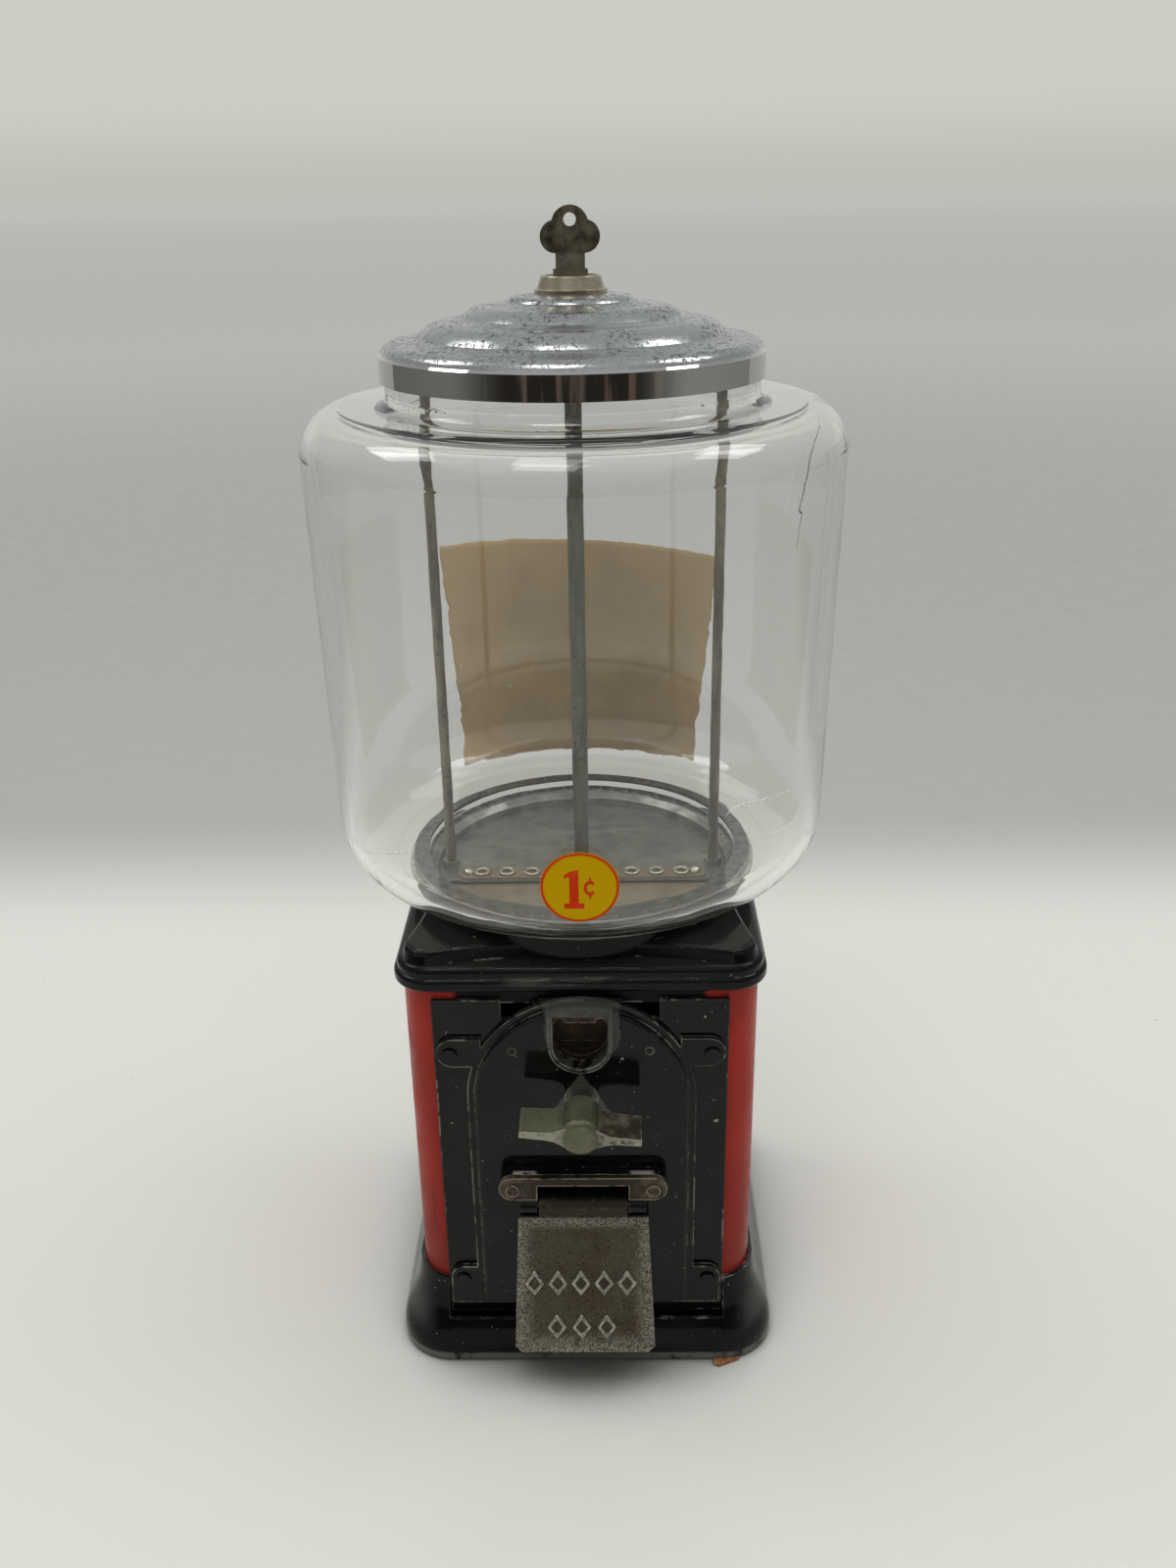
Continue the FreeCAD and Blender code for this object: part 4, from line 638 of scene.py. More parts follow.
def leather_pad():
    """Brown fibre pad."""
    paper = settings("paper")
    finish = Finish("leather_pad", paper.leather)
    fibre = finish.speckle(420.0, 6.0, 0.7)
    finish.layer(paper.leather_dark, finish.ramp(fibre, 0.35, 0.68))
    finish.gloss(fibre, 0.75, 0.92)
    finish.bump(fibre, 0.0004, 0.6)
    return finish.done()


def grey_putty(name, base):
    """Cloudy grey sealing putty."""
    finish = Finish(name, base)
    cloud = finish.speckle(260.0, 5.0)
    finish.layer((0.150, 0.154, 0.146), finish.ramp(cloud, 0.35, 0.65))
    finish.gloss(cloud, 0.30, 0.55)
    finish.bump(cloud, 0.0003, 0.5)
    return finish.done()


def clear_glass():
    """Clear glass with a faint smear, open to the lamps' light."""
    finish = Finish("clear_glass", (0.992, 0.996, 0.992))
    finish.roughness(finish.span(finish.spots(0.52, 0.80, 22.0, 5.0, 0.65), 0.0, 0.045))
    finish.bump(finish.speckle(42.0, 2.0, 0.5), 0.0006, 0.10)
    path = finish.node("ShaderNodeLightPath")
    finish.open(path.outputs["Is Shadow Ray"], (0.93, 0.94, 0.935))
    return finish.done(Transmission_Weight=1.0, IOR=1.48)


def crack_line(name, base, fleck_colour):
    """The line of a crack in glass, broken by flecks."""
    finish = Finish(name, base)
    fleck = finish.speckle(900.0, 2.0)
    finish.layer(fleck_colour, finish.ramp(fleck, 0.4, 0.6))
    finish.gloss(fleck, 0.15, 0.35)
    return finish.done(Specular_IOR_Level=0.8)


def aged_paper():
    """Tan aged paper with stains."""
    paper = settings("paper")
    finish = Finish("aged_paper", paper.label)
    finish.layer(paper.label_stain, finish.spots(0.42, 0.68, 32.0, 6.0), 0.55)
    fibre = finish.speckle(480.0, 4.0, 0.7, finish.stretched(1.0, 1.0, 0.4))
    finish.layer((0.40, 0.30, 0.20), finish.ramp(fibre, 0.5, 0.75), 0.35)
    finish.layer((0.55, 0.50, 0.42), finish.spots(0.74, 0.77, 260.0, 1.5), 0.7)
    finish.layer((0.300, 0.180, 0.070), finish.along("Z", 0.235, 0.200), 0.5)
    finish.gloss(fibre, 0.72, 0.90)
    finish.bump(fibre, 0.00008, 0.3)
    return finish.done()


def sticker_paper(name, base, faded):
    """Printed gloss paper, rubbed in places and creased once."""
    finish = Finish(name, base)
    rub = finish.spots(0.40, 0.75, 240.0, 5.0)
    finish.layer(faded, rub, 0.30)
    crease = finish.size(finish.less(finish.axes["X"], 0.0014))
    finish.layer(faded, finish.ramp(crease, 0.00022, 0.0001), 0.25)
    finish.roughness(finish.span(rub, 0.32, 0.50))
    finish.bump(finish.speckle(380.0), 0.00005, 0.25)
    return finish.done(Specular_IOR_Level=0.02)


def dress(material, *names):
    """Gives CAD nodes a finish."""
    for name in names:
        for slot in nodes[name].material_slots:
            slot.material = material


def new_object(name, points, faces, material, smooth=True):
    """An object from points and faces, with its normals made to agree."""
    mesh = bpy.data.meshes.new(name)
    mesh.from_pydata([tuple(p) for p in points], [], faces)
    shape = bmesh.new()
    shape.from_mesh(mesh)
    bmesh.ops.recalc_face_normals(shape, faces=shape.faces)
    shape.to_mesh(mesh)
    shape.free()
    for face in mesh.polygons:
        face.use_smooth = smooth
    mesh.materials.append(material)
    made = bpy.data.objects.new(name, mesh)
    bpy.context.scene.collection.objects.link(made)
    return made


def add_piece(name, points, faces, material, body):
    """A new piece that rides on a body."""
    piece = new_object(name, points, faces, material)
    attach(piece, body)
    return piece


def surface_of(name):
    """A CAD node's surface, to set pieces on."""
    mesh = nodes[name].data
    return BVHTree.FromPolygons([v.co for v in mesh.vertices], [p.vertices for p in mesh.polygons])


def meet(surface, start, way):
    """Where a line first meets a surface, and the way that the surface faces there."""
    place, normal = surface.ray_cast(Vector(start), Vector(way))[:2]
    if place is None:
        raise RuntimeError("no surface ahead of %.4f, %.4f, %.4f" % tuple(start))
    return place, normal


def on_front(surface, x, z, lift):
    """The point of a surface seen from the front at x and z, lifted off it."""
    return meet(surface, (x, -OUTSIDE, z), (0, 1, 0))[0] + Vector((0, -lift, 0))


def turned(share):
    """The level direction after a share of a full turn."""
    angle = 2.0 * math.pi * share
    return Vector((math.cos(angle), math.sin(angle), 0.0))


def grid_faces(columns, rows):
    """The faces of a grid whose points run along each row in turn."""
    faces = []
    for row in range(rows):
        for column in range(columns):
            low = row * (columns + 1) + column
            faces.append((low, low + 1, low + columns + 2, low + columns + 1))
    return faces


def tube_faces(sections, sides, closed=False, start=0):
    """The faces of a tube whose points run round each section in turn."""
    faces = []
    for i in range(sections if closed else sections - 1):
        here = start + i * sides
        there = start + (i + 1) % sections * sides
        for j in range(sides):
            k = (j + 1) % sides
            faces.append((here + j, here + k, there + k, there + j))
    if not closed:
        last = start + (sections - 1) * sides
        faces.append(tuple(range(start, start + sides)))
        faces.append(tuple(range(last, last + sides)))
    return faces


def patch_points(corners, columns, rows):
    """A grid over a four-cornered patch: its points and faces."""
    a, b, c, d = [Vector(corner) for corner in corners]
    points = []
    for row in range(rows + 1):
        left = a.lerp(d, row / rows)
        right = b.lerp(c, row / rows)
        for column in range(columns + 1):
            points.append(left.lerp(right, column / columns))
    return points, grid_faces(columns, rows)


def arc_patch(centre, inner, outer, start, end, steps, squash=1.0):
    """A flat ring or part of one in x and z: its points and faces."""
    points = []
    for i in range(steps + 1):
        angle = math.radians(start + (end - start) * i / steps)
        for radius in (inner, (inner + outer) / 2.0, outer):
            x = centre[0] + radius * math.cos(angle) * squash
            points.append(Vector((x, centre[1] + radius * math.sin(angle))))
    return points, grid_faces(2, steps)


def area_lamp(name, place, aim, width, power, tint):
    """A square lamp that points at a place."""
    lamp = bpy.data.lights.new(name, "AREA")
    lamp.shape = "RECTANGLE"
    lamp.size = width
    lamp.size_y = width
    lamp.energy = power
    lamp.color = tint
    holder = bpy.data.objects.new(name, lamp)
    holder.location = place
    holder.rotation_euler = (Vector(aim) - Vector(place)).to_track_quat("-Z", "Y").to_euler()
    bpy.context.scene.collection.objects.link(holder)
    return holder


def card_finish():
    """A dark card with paler ends and a few uneven patches, fading out at its top."""
    stage = settings("stage")
    finish = Finish("dark_card", stage.card_dark)
    patches = finish.spots(0.50, 0.60, 2.6, 3.0, 0.6, finish.stretched(1.6, 1.0, 0.8))
    finish.layer((0.50, 0.36, 0.30), patches, 0.30)
    side = finish.blend(finish.along("X", -0.4, 0.8), stage.card_side, (0.390, 0.392, 0.380))
    finish.layer(side, finish.along("Y", stage.card_reach * -0.84, stage.card_reach * -0.30))
    finish.gloss(finish.speckle(9.0), 0.85, 0.95)
    finish.open(finish.along("Z", stage.card_height * 0.55, stage.card_height), (1.0, 1.0, 1.0))
    return finish.done(Specular_IOR_Level=0.0)


def dark_card():
    """A curved card in front, seen only in shiny metal."""
    stage = settings("stage")
    steps = 60
    points = []
    for i in range(steps + 1):
        turn = math.radians(-125.0 + 250.0 * i / steps)
        x = stage.card_reach * math.sin(turn)
        y = -stage.card_reach * math.cos(turn)
        points += [(x, y, 0.001), (x, y, stage.card_height)]
    card = new_object("dark_card", points, grid_faces(1, steps), card_finish())
    card.visible_camera = False
    card.visible_diffuse = False
    card.visible_transmission = False
    card.visible_shadow = False


def floor_finish():
    """A pale board with a painted shade that turns it grey behind the machine, paler again further away,
    and a painted contact shadow near the machine.
    """
    stage = settings("stage")
    finish = Finish("floor_board", stage.floor_near)
    flat = finish.node("ShaderNodeVectorMath")
    flat.operation = "LENGTH"
    finish.join(finish.place, flat.inputs[0])
    distance = flat.outputs["Value"]
    # Painted shade: a grey band across the board behind the machine.
    finish.layer(stage.floor_shade_band, finish.along("Y", stage.shade_band_start * 0.72, stage.shade_band_start * 1.25))
    finish.layer(stage.floor_rise, finish.ramp(distance, 0.5, 4.0))
    finish.layer((0.860, 0.858, 0.795), finish.ramp(distance, 5.0, 30.0))
    finish.layer((0.25, 0.25, 0.23), finish.spots(0.80, 0.81, 160.0, 1.0), 0.3)
    # Painted contact shadow: the board darkens where the machine stands close above it.
    corner = finish.node("ShaderNodeAmbientOcclusion")
    corner.samples = 8
    corner.inputs["Distance"].default_value = 0.045
    finish.layer((0.16, 0.16, 0.15), finish.ramp(corner.outputs["AO"], 0.30, 0.85, 1.0, 0.0))
    finish.gloss(finish.speckle(40.0), 0.34, 0.44)
    return finish.done(Specular_IOR_Level=0.35)


def studio_world():
    """A soft pale room, darker towards the front, with a plain backdrop for the camera."""
    stage = settings("stage")
    world = bpy.data.worlds.new("studio")
    bpy.context.scene.world = world
    world.use_nodes = True
    room = Nodes(world.node_tree)
    output = room.node("ShaderNodeOutputWorld")
    path = room.node("ShaderNodeLightPath")
    place = room.node("ShaderNodeTexCoord")
    across, depth, height = room.split(place.outputs["Generated"])
    front = room.times(room.ramp(depth, -0.75, -0.35, 1.0, 0.0), room.ramp(height, 0.10, 0.55, 1.0, 0.0))
    tone = room.blend(front, (0.72, 0.73, 0.72), (0.06, 0.06, 0.065))
    shiny = path.outputs["Is Glossy Ray"]
    ceiling = room.times(room.ramp(height, 0.10, 0.62, 0.0, 0.75), shiny)
    tone = room.blend(ceiling, tone, (0.500, 0.510, 0.515))
    walls = room.times(room.ramp(room.size(across), 0.40, 0.80, 0.0, 0.55), shiny)
    tone = room.blend(walls, tone, (0.250, 0.255, 0.258))
    light = room.node("ShaderNodeBackground")
    room.join(tone, light.inputs["Color"])
    light.inputs["Strength"].default_value = 0.85
    backdrop = room.node("ShaderNodeBackground")
    view = room.blend(room.ramp(height, -0.005, 0.055), stage.skyline, stage.sky)
    room.join(view, backdrop.inputs["Color"])
    seen = room.most(path.outputs["Is Camera Ray"], path.outputs["Is Transmission Ray"])
    room.mix(seen, light.outputs["Background"], backdrop.outputs["Background"], output.inputs["Surface"])


class GUMBALL_OT_stage(bpy.types.Operator):
    """Sets the camera, the floor and the soft lights"""

    bl_idname = "gumball.stage"
    bl_label = "Stage"

    def execute(self, context):
        context.scene.view_settings.view_transform = "Standard"
        self.camera(context.scene)
        reach = 40.0
        corners = [(-reach, -reach, 0), (reach, -reach, 0), (reach, reach, 0), (-reach, reach, 0)]
        points, faces = patch_points(corners, 8, 8)
        floor = new_object("floor", points, faces, floor_finish(), False)
        studio_world()
        dark_card()
        self.lamps()
        return {"FINISHED"}

    def camera(self, scene):
        """The camera at the place and the turn that the settings give."""
        stage = settings("stage")
        yaw = stage.camera_yaw
        pitch = stage.camera_pitch
        roll = stage.camera_roll
        ahead = math.cos(pitch)
        forward = Vector((math.sin(yaw) * ahead, math.cos(yaw) * ahead, -math.sin(pitch)))
        level = Vector((math.cos(yaw), -math.sin(yaw), 0.0))
        upright = level.cross(forward)
        right = math.cos(roll) * level + math.sin(roll) * upright
        up = -math.sin(roll) * level + math.cos(roll) * upright
        turn = Matrix((right, up, -forward)).transposed().to_4x4()
        lens = bpy.data.cameras.new("camera")
        lens.lens = stage.lens
        lens.sensor_width = 36.0
        lens.sensor_fit = "AUTO"
        lens.clip_start = 0.01
        camera = bpy.data.objects.new("camera", lens)
        camera.matrix_world = Matrix.Translation(Vector(stage.camera_place)) @ turn
        scene.collection.objects.link(camera)
        scene.camera = camera

    def lamps(self):
        """One broad light above, and three small lamps that show in the lid."""
        stage = settings("stage")
        middle = (0.0, 0.0, 0.2)
        lid = (0.0, 0.0, 0.38)
        broad = area_lamp("top_light", (0.0, -0.10, 1.5), middle, 1.8, stage.key_power, (1.0, 0.99, 0.96))
        broad.visible_glossy = False
        lamps = {
            "left_lamp": (-1.01, 0.28, 1.455),
            "middle_lamp": (-0.18, -0.55, 1.75),
            "right_lamp": (0.97, 0.145, 1.516),
        }
        for name, place in lamps.items():
            area_lamp(name, place, lid, 0.52, stage.lamp_power, (1.0, 0.99, 0.97))


class GUMBALL_OT_cabinet(bpy.types.Operator):
    """Paints the cabinet, its base and its cap"""

    bl_idname = "gumball.cabinet"
    bl_label = "Cabinet"

    def execute(self, context):
        metal = settings("metal")
        dress(red_enamel(), "body_shell")
        dress(base_enamel(), "base_pan")
        dress(cap_enamel(), "top_cap")
        dress(leather_pad(), "base_pad")
        dress(plain_metal("floor_steel", metal.steel, metal.rust, 0.5), "bottom_plate")
        return {"FINISHED"}


class GUMBALL_OT_front(bpy.types.Operator):
    """Paints the front plate, the arch and the coin entry"""

    bl_idname = "gumball.front"
    bl_label = "Front and coin entry"

    def execute(self, context):
        metal = settings("metal")
        dress(black_enamel("plate_enamel", 0.0012, 1.0), "front_plate")
        dress(boss_enamel(), "hinge_boss")
        dress(black_enamel("rivet_enamel", 0.0003, 0.0), "arch_rivets", "spacer_posts")
        dress(arch_enamel(), "arch_plate")
        inner = rusty_steel("inner_rust", metal.rust, metal.rust_pale)
        dress(inner, "coin_guard", "coin_backstop", "coin_wheel", "hinge_pin")
        bar = rusty_steel("bar_rust", (0.018, 0.010, 0.006), (0.040, 0.026, 0.015))
        dress(bar, "hinge_bar", "hinge_rivets")
        return {"FINISHED"}


class GUMBALL_OT_door(bpy.types.Operator):
    """Finishes the chute door and raises its lozenge ornament"""

    bl_idname = "gumball.door"
    bl_label = "Door"

    def execute(self, context):
        dress(pitted_zinc(), "chute_door")
        surface = surface_of("chute_door")
        upper = [(x, 0.0498) for x in (-0.0190, -0.0101, -0.0013, 0.0075, 0.0163)]
        lower = [(x, 0.0309) for x in (-0.0108, -0.0012, 0.0084)]
        points = []
        faces = []
        for x, z in upper + lower:
            self.lozenge(surface, x, z, points, faces)
        add_piece("door_ornament", points, faces, bright_zinc(), "door")
        return {"FINISHED"}

    def lozenge(self, surface, x, z, points, faces):
        """One raised lozenge outline that lies on the door."""
        detail = settings("detail")
        wide = detail.ornament_width
        high = detail.ornament_height
        inradius = wide * high / math.hypot(wide, high)
        half = detail.ornament_stroke / 2.0
        rise = detail.ornament_rise
        sunk = -0.0002
        profile = [(-half * 1.25, sunk), (-half, rise * 0.55), (-half * 0.45, rise)]
        profile += [(-offset, lift) for offset, lift in reversed(profile)]
        corners = [(1, 0), (0.5, 0.5), (0, 1), (-0.5, 0.5), (-1, 0), (-0.5, -0.5), (0, -1), (0.5, -0.5)]
        faces += tube_faces(len(corners), len(profile), True, len(points))
        for along, across in corners:
            for offset, lift in profile:
                grow = 1.0 + offset / inradius
                points.append(on_front(surface, x + along * wide * grow, z + across * high * grow, lift))


class GUMBALL_OT_handle(bpy.types.Operator):
    """Finishes the handle and its shaft"""

    bl_idname = "gumball.handle"
    bl_label = "Handle"

    def execute(self, context):
        dress(handle_casting(), "handle")
        steel = plain_metal("shaft_steel", (0.175, 0.170, 0.150), (0.110, 0.105, 0.090), 0.45)
        dress(steel, "handle_screw", "handle_shaft", "front_bush")
        return {"FINISHED"}


class GUMBALL_OT_mechanism(bpy.types.Operator):
    """Finishes the coin mechanism and the gears"""

    bl_idname = "gumball.mechanism"
    bl_label = "Mechanism"

    def execute(self, context):
        metal = settings("metal")
        steel = plain_metal("mechanism_steel", metal.steel, (0.170, 0.150, 0.120), 0.42)
        dress(steel, "mechanism_frame", "pawl_pin", "pawl_spring", "rod_bracket", "lock_tail")
        dress(steel, "lock_nut", "rod_cross_pin", "neck_bridge", "centre_rod_nuts", "tie_rod_nuts")
        gear = plain_metal("gear_metal", (0.300, 0.290, 0.265), (0.150, 0.135, 0.110), 0.48)
        dress(gear, "ratchet_wheel", "pawl", "drive_pinion", "crown_gear", "wheel_sleeve")
        brass = plain_metal("dull_brass", metal.brass, (0.210, 0.140, 0.055), 0.40)
        dress(brass, "rear_bush", "wheel_collar")
        return {"FINISHED"}


class GUMBALL_OT_hopper(bpy.types.Operator):
    """Finishes the hopper, the wheel and the chute"""

    bl_idname = "gumball.hopper"
    bl_label = "Hopper and chute"

    def execute(self, context):
        dress(mottled_plate("hopper_zinc", 0.40), "hopper_bowl")
        dress(mottled_plate("strike_zinc", 0.30), "strike_plate", "drop_tube", "gum_chute")
        dress(tan_wheel_metal(), "merchandise_wheel", "strike_strip")
        bright = plain_metal("rivet_metal", (0.56, 0.53, 0.46), (0.30, 0.27, 0.21), 0.26)
        dress(bright, "strike_rivets")
        self.eyelets(bright)
        return {"FINISHED"}

    def eyelets(self, material):
        """Rolled rims round the holes of the strip, four on each side of the middle rod."""
        detail = settings("detail")
        low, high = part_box("strike_strip")
        middle_y = (low.y + high.y) / 2.0
        around = 28
        across = 8
        points = []
        faces = []
        for place in (-1, -2, -3, -4, 1, 2, 3, 4):
            faces += tube_faces(around, across, True, len(points))
            middle = Vector((place * detail.eyelet_pitch, middle_y, high.z))
            for i in range(around):
                for j in range(across):
                    roll = turned(j / across) * detail.eyelet_roll
                    point = middle + turned(i / around) * (detail.eyelet_ring + roll.x)
                    point.z += roll.y * 0.7
                    points.append(point)
        add_piece("eyelet_rims", points, faces, material, "cabinet")


class GUMBALL_OT_rods(bpy.types.Operator):
    """Finishes the rods and cuts the threads at their feet"""

    bl_idname = "gumball.rods"
    bl_label = "Rods"

    def execute(self, context):
        metal = settings("metal")
        dress(rod_steel("centre_rod_steel", (0.125, 0.125, 0.102), metal.rod_dark, 0.00015), "centre_rod")
        side = rod_steel("side_rod_steel", metal.rod, (0.085, 0.074, 0.056), 0.00025)
        for name in ("left_tie_rod", "right_tie_rod"):
            dress(side, name)
            self.thread(name, side)
        return {"FINISHED"}

    def thread(self, name, material):
        """A helical ridge round the foot of a side rod, fading at both ends."""
        detail = settings("detail")
        low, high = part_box(name)
        centre = (low + high) / 2.0
        radius = (high.x - low.x) / 2.0
        root = radius - 0.00008
        crest = 0.00026
        foot = low.z + 0.0042
        turn_steps = 16
        steps = int(detail.thread_length / detail.thread_pitch * turn_steps)
        ridge = detail.thread_pitch * 0.36
        points = []
        for i in range(steps + 1):
            way = turned(i / turn_steps)
            z = foot + detail.thread_length * i / steps
            fade = min(1.0, i / 8.0, (steps - i) / 8.0)
            for reach, rise in ((root, -ridge), (radius + crest * fade, 0.0), (root, ridge)):
                points.append((centre.x + reach * way.x, centre.y + reach * way.y, z + rise))
        faces = tube_faces(steps + 1, 3)
        add_piece(name + "_thread", points, faces, material, "cabinet")


class GUMBALL_OT_globe(bpy.types.Operator):
    """Finishes the glass, its cracks and the putty at its foot"""

    bl_idname = "gumball.globe"
    bl_label = "Globe"

    def execute(self, context):
        dress(clear_glass(), "globe")
        dress(grey_putty("seal_putty", settings("paper").putty), "globe_gasket", "lid_gasket")
        self.putty(grey_putty("foot_putty", (0.460, 0.465, 0.430)))
        self.cracks()
        return {"FINISHED"}

    def putty(self, material):
        """An uneven bead where the glass meets the hopper."""
        detail = settings("detail")
        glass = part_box("globe_gasket")[1].x
        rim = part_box("hopper_bowl")[1]
        steps = 360
        sides = 8
        points = []
        for i in range(steps):
            way = turned(i / steps)
            lump = noise.noise(way * 9.0) * 0.35 + noise.noise(way * 34.0) * 0.35
            size = detail.putty_bead * (0.75 + 0.5 * lump)
            for j in range(sides):
                turn = turned(j / sides) * size
                point = way * ((glass + rim.x) / 2.0 + turn.x * 0.9)
                point.z = rim.z + max(-0.0001, turn.y)
                points.append(point)
        faces = tube_faces(steps, sides, True)
        add_piece("globe_putty", points, faces, material, "cabinet")

    def cracks(self):
        """Fine lines on the outside of the glass: each is a run of angles and heights."""
        shoulder = [(-25.0, 0.3641), (-34.2, 0.3596), (-37.4, 0.3560), (-38.1, 0.3547), (-39.6, 0.3475),
                    (-40.9, 0.3400), (-40.0, 0.3386), (-40.4, 0.3350), (-41.2, 0.3280)]
        right_foot = [(-57.5, 0.2430), (-55.3, 0.2449), (-51.3, 0.2448), (-45.3, 0.2436), (-40.0, 0.2422),
                      (-36.5, 0.2428)]
        left_foot = [(-146.0, 0.2172), (-137.1, 0.2225), (-131.7, 0.2255), (-126.7, 0.2282)]
        bright = crack_line("bright_crack", (0.62, 0.64, 0.63), (0.92, 0.93, 0.92))
        dark = crack_line("dark_crack", (0.030, 0.031, 0.029), (0.240, 0.245, 0.235))
        self.crack("crack_shoulder", shoulder, dark)
        self.crack("crack_right_foot", right_foot, bright)
        self.crack("crack_left_foot", left_foot, bright)

    def crack(self, name, run, material):
        """One line along a run, thickest in its middle."""
        surface = surface_of("globe")
        pieces = 8
        places = []
        for (a0, z0), (a1, z1) in zip(run, run[1:]):
            for i in range(pieces):
                share = i / pieces
                wobble = noise.noise(Vector((a0 + share * 3.0, z0 * 200.0 + share * 5.0, 0.3)))
                angle = a0 + (a1 - a0) * share + wobble * 0.35
                places.append((angle, z0 + (z1 - z0) * share + wobble * 0.0006))
        places.append(run[-1])
        line = []
        for angle, z in places:
            way = turned(angle / 360.0)
            line.append(meet(surface, way * OUTSIDE + Vector((0, 0, z)), -way))
        half = settings("detail").crack_width
        last = len(line) - 1
        points = []
        for i, (place, normal) in enumerate(line):
            ahead = line[min(i + 1, last)][0] - line[max(i - 1, 0)][0]
            thin = half * (0.25 + 0.75 * math.sin(math.pi * (i + 0.5) / len(line)))
            across = ahead.cross(normal).normalized() * thin
            points += [place + across, place + normal * 0.00006, place - across, place - normal * 0.0001]
        add_piece(name, points, tube_faces(len(line), 4), material, "cabinet")


class GUMBALL_OT_price(bpy.types.Operator):
    """Finishes the price sticker and prints its ring and its figures"""

    bl_idname = "gumball.price"
    bl_label = "Price sticker"

    def execute(self, context):
        paper = settings("paper")
        dress(sticker_paper("sticker_yellow", paper.yellow, (0.57, 0.35, 0.005)), "price_sticker")
        ink = sticker_paper("sticker_red", paper.print_red, (0.66, 0.10, 0.03))
        low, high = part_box("price_sticker")
        radius = (high.x - low.x) / 2.0
        x = (low.x + high.x) / 2.0
        z = high.z - radius
        ring = arc_patch((x, z), radius - 0.00096, radius - 0.00012, 0.0, 360.0, 144)
        self.lay("price_ring", [ring], ink)
        self.lay("price_figure", self.figure(x - 0.0019, z), ink)
        self.lay("price_cent", self.cent(x + 0.0034, z - 0.0001), ink)
        return {"FINISHED"}

    def lay(self, name, patches, ink):
        """Lays flat print on the sticker."""
        surface = surface_of("price_sticker")
        points = []
        faces = []
        for patch, cells in patches:
            start = len(points)
            faces += [tuple(start + i for i in face) for face in cells]
            points += [on_front(surface, p[0], p[1], PRINT_LIFT) for p in patch]
        add_piece(name, points, faces, ink, "cabinet")

    def figure(self, x, z):
        """A plain numeral one with a flag and a foot."""
        stem = 0.00150
        flag = 0.00320
        foot = 0.00330
        top = z + 0.0068
        base = z - 0.0076
        shelf = base + 0.0019
        peak = top - 0.0008
        column = [(x - stem, shelf), (x + stem, shelf), (x + stem, top), (x - stem, peak)]
        sole = [(x - foot, base), (x + foot, base), (x + foot, shelf), (x - foot, shelf)]
        tip = x - flag
        beak = [(tip, top - 0.0032), (x - stem, top - 0.0026), (x - stem, peak), (tip, top - 0.0020)]
        return [patch_points(column, 6, 26), patch_points(sole, 14, 4), patch_points(beak, 5, 4)]

    def cent(self, x, z):
        """A small cent sign."""
        bar = 0.00036
        near = 0.0026
        far = 0.0039
        bowl = arc_patch((x, z), 0.00148, 0.00268, 44.0, 316.0, 40, 0.80)
        upper = [(x - bar, z + near), (x + bar, z + near), (x + bar, z + far), (x - bar, z + far)]
        lower = [(x - bar, z - far), (x + bar, z - far), (x + bar, z - near), (x - bar, z - near)]
        return [bowl, patch_points(upper, 2, 4), patch_points(lower, 2, 4)]


class GUMBALL_OT_label(bpy.types.Operator):
    """Makes the torn paper on the back of the globe"""

    bl_idname = "gumball.label"
    bl_label = "Back label"

    def execute(self, context):
        surface = surface_of("globe")
        top_left = -0.0626
        top_right = 0.0566
        low_left = -0.0509
        low_right = 0.0520
        low = 0.2040
        high = 0.2945
        tilt = math.radians(3.0)
        middle = (low + high) / 2.0
        columns = 60
        rows = 44
        points = []
        for row in range(rows + 1):
            across = row / rows
            left = low_left + (top_left - low_left) * across
            right = low_right + (top_right - low_right) * across
            for column in range(columns + 1):
                along = column / columns
                tear_x, tear_z = self.tear(along, across)
                droop = (0.0065 - 0.0055 * along) * (1.0 - across)
                x = left + (right - left) * along + tear_x
                rise = low + (high - low) * across - droop + tear_z - middle
                turned_x = x * math.cos(tilt) + rise * math.sin(tilt)
                turned_z = middle - x * math.sin(tilt) + rise * math.cos(tilt)
                place = meet(surface, (turned_x, OUTSIDE, turned_z), (0, -1, 0))[0]
                points.append(place + Vector((place.x, place.y, 0)).normalized() * PAPER_LIFT)
        faces = grid_faces(columns, rows)
        piece = add_piece("back_label_sheet", points, faces, aged_paper(), "cabinet")
        body = piece.modifiers.new("thickness", "SOLIDIFY")
        body.thickness = PAPER_THICK
        body.offset = -1.0
        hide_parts("back_label")
        return {"FINISHED"}

    def tear(self, along, across):
        """How far the torn edge moves a point of the sheet."""
        seed = settings("detail").label_seed
        side = max(0.0, 1.0 - min(along, 1.0 - along) * 30.0)
        end = max(0.0, 1.0 - min(across, 1.0 - across) * 22.0)
        coarse = noise.noise(Vector((across * 9.0, along * 9.0, seed)))
        fine = noise.noise(Vector((across * 42.0, along * 42.0, seed + 3.0)))
        reach = coarse * 0.0011 + fine * 0.0009
        return side * reach, end * reach * 0.7


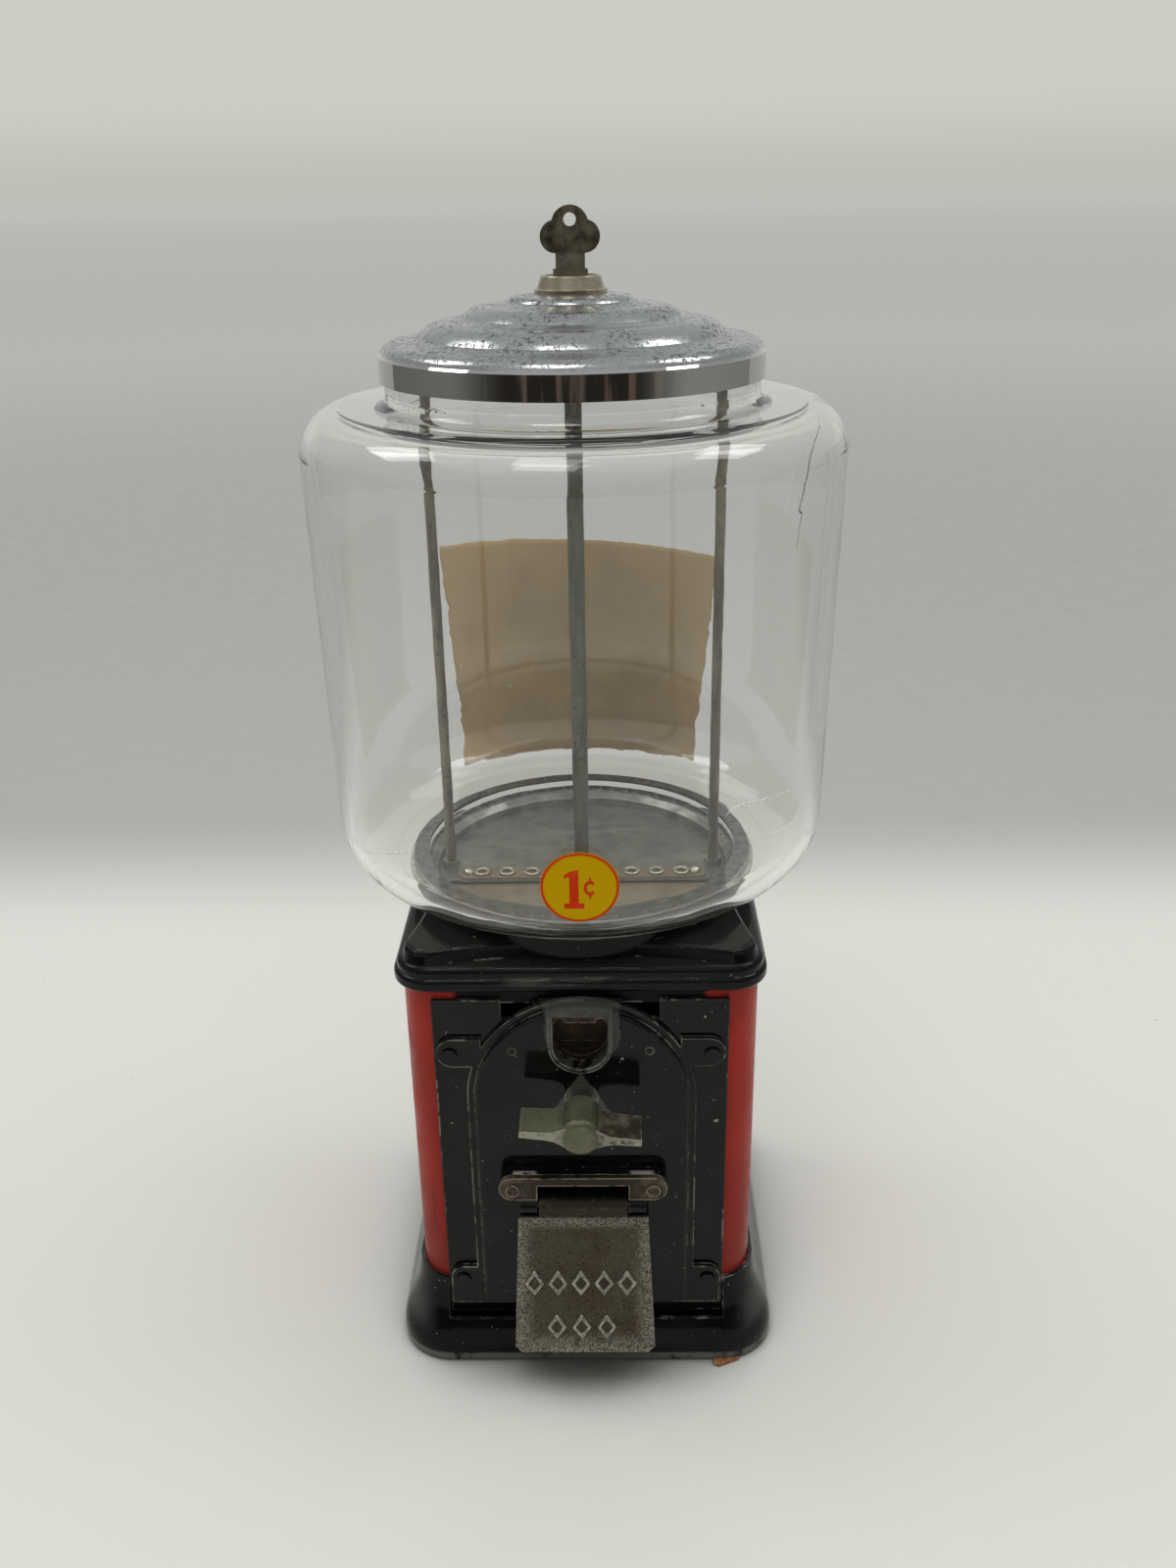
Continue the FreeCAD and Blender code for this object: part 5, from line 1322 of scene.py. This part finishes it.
class GUMBALL_OT_lid(bpy.types.Operator):
    """Finishes the lid, the lock and the key"""

    bl_idname = "gumball.lid"
    bl_label = "Lid, lock and key"

    def execute(self, context):
        dress(pitted_chrome(), "lid")
        dress(worn_nickel(), "lock_body", "lock_plug")
        dress(dark_key_metal(), "key")
        return {"FINISHED"}


class GUMBALL_PT_panel(bpy.types.Panel):
    """Lists the pieces of the machine"""

    bl_idname = "GUMBALL_PT_panel"
    bl_label = "Gumball machine"
    bl_space_type = "VIEW_3D"
    bl_region_type = "UI"
    bl_category = "Gumball machine"

    def draw(self, context):
        for operator in OPERATORS:
            self.layout.operator(operator.bl_idname)


SETTINGS = {
    "gumball_stage": StageSettings,
    "gumball_paint": PaintSettings,
    "gumball_metal": MetalSettings,
    "gumball_paper": PaperSettings,
    "gumball_detail": DetailSettings,
}

OPERATORS = [
    GUMBALL_OT_stage,
    GUMBALL_OT_cabinet,
    GUMBALL_OT_front,
    GUMBALL_OT_door,
    GUMBALL_OT_handle,
    GUMBALL_OT_mechanism,
    GUMBALL_OT_hopper,
    GUMBALL_OT_rods,
    GUMBALL_OT_globe,
    GUMBALL_OT_price,
    GUMBALL_OT_label,
    GUMBALL_OT_lid,
]


def register():
    for name, group in SETTINGS.items():
        bpy.utils.register_class(group)
        setattr(bpy.types.Scene, name, PointerProperty(type=group))
    for operator in OPERATORS:
        bpy.utils.register_class(operator)
    bpy.utils.register_class(GUMBALL_PT_panel)


def unregister():
    bpy.utils.unregister_class(GUMBALL_PT_panel)
    for operator in reversed(OPERATORS):
        bpy.utils.unregister_class(operator)
    for name, group in SETTINGS.items():
        delattr(bpy.types.Scene, name)
        bpy.utils.unregister_class(group)


def main():
    register()
    bpy.ops.gumball.stage()
    bpy.ops.gumball.cabinet()
    bpy.ops.gumball.front()
    bpy.ops.gumball.door()
    bpy.ops.gumball.handle()
    bpy.ops.gumball.mechanism()
    bpy.ops.gumball.hopper()
    bpy.ops.gumball.rods()
    bpy.ops.gumball.globe()
    bpy.ops.gumball.price()
    bpy.ops.gumball.label()
    bpy.ops.gumball.lid()


if __name__ == "__main__":
    main()
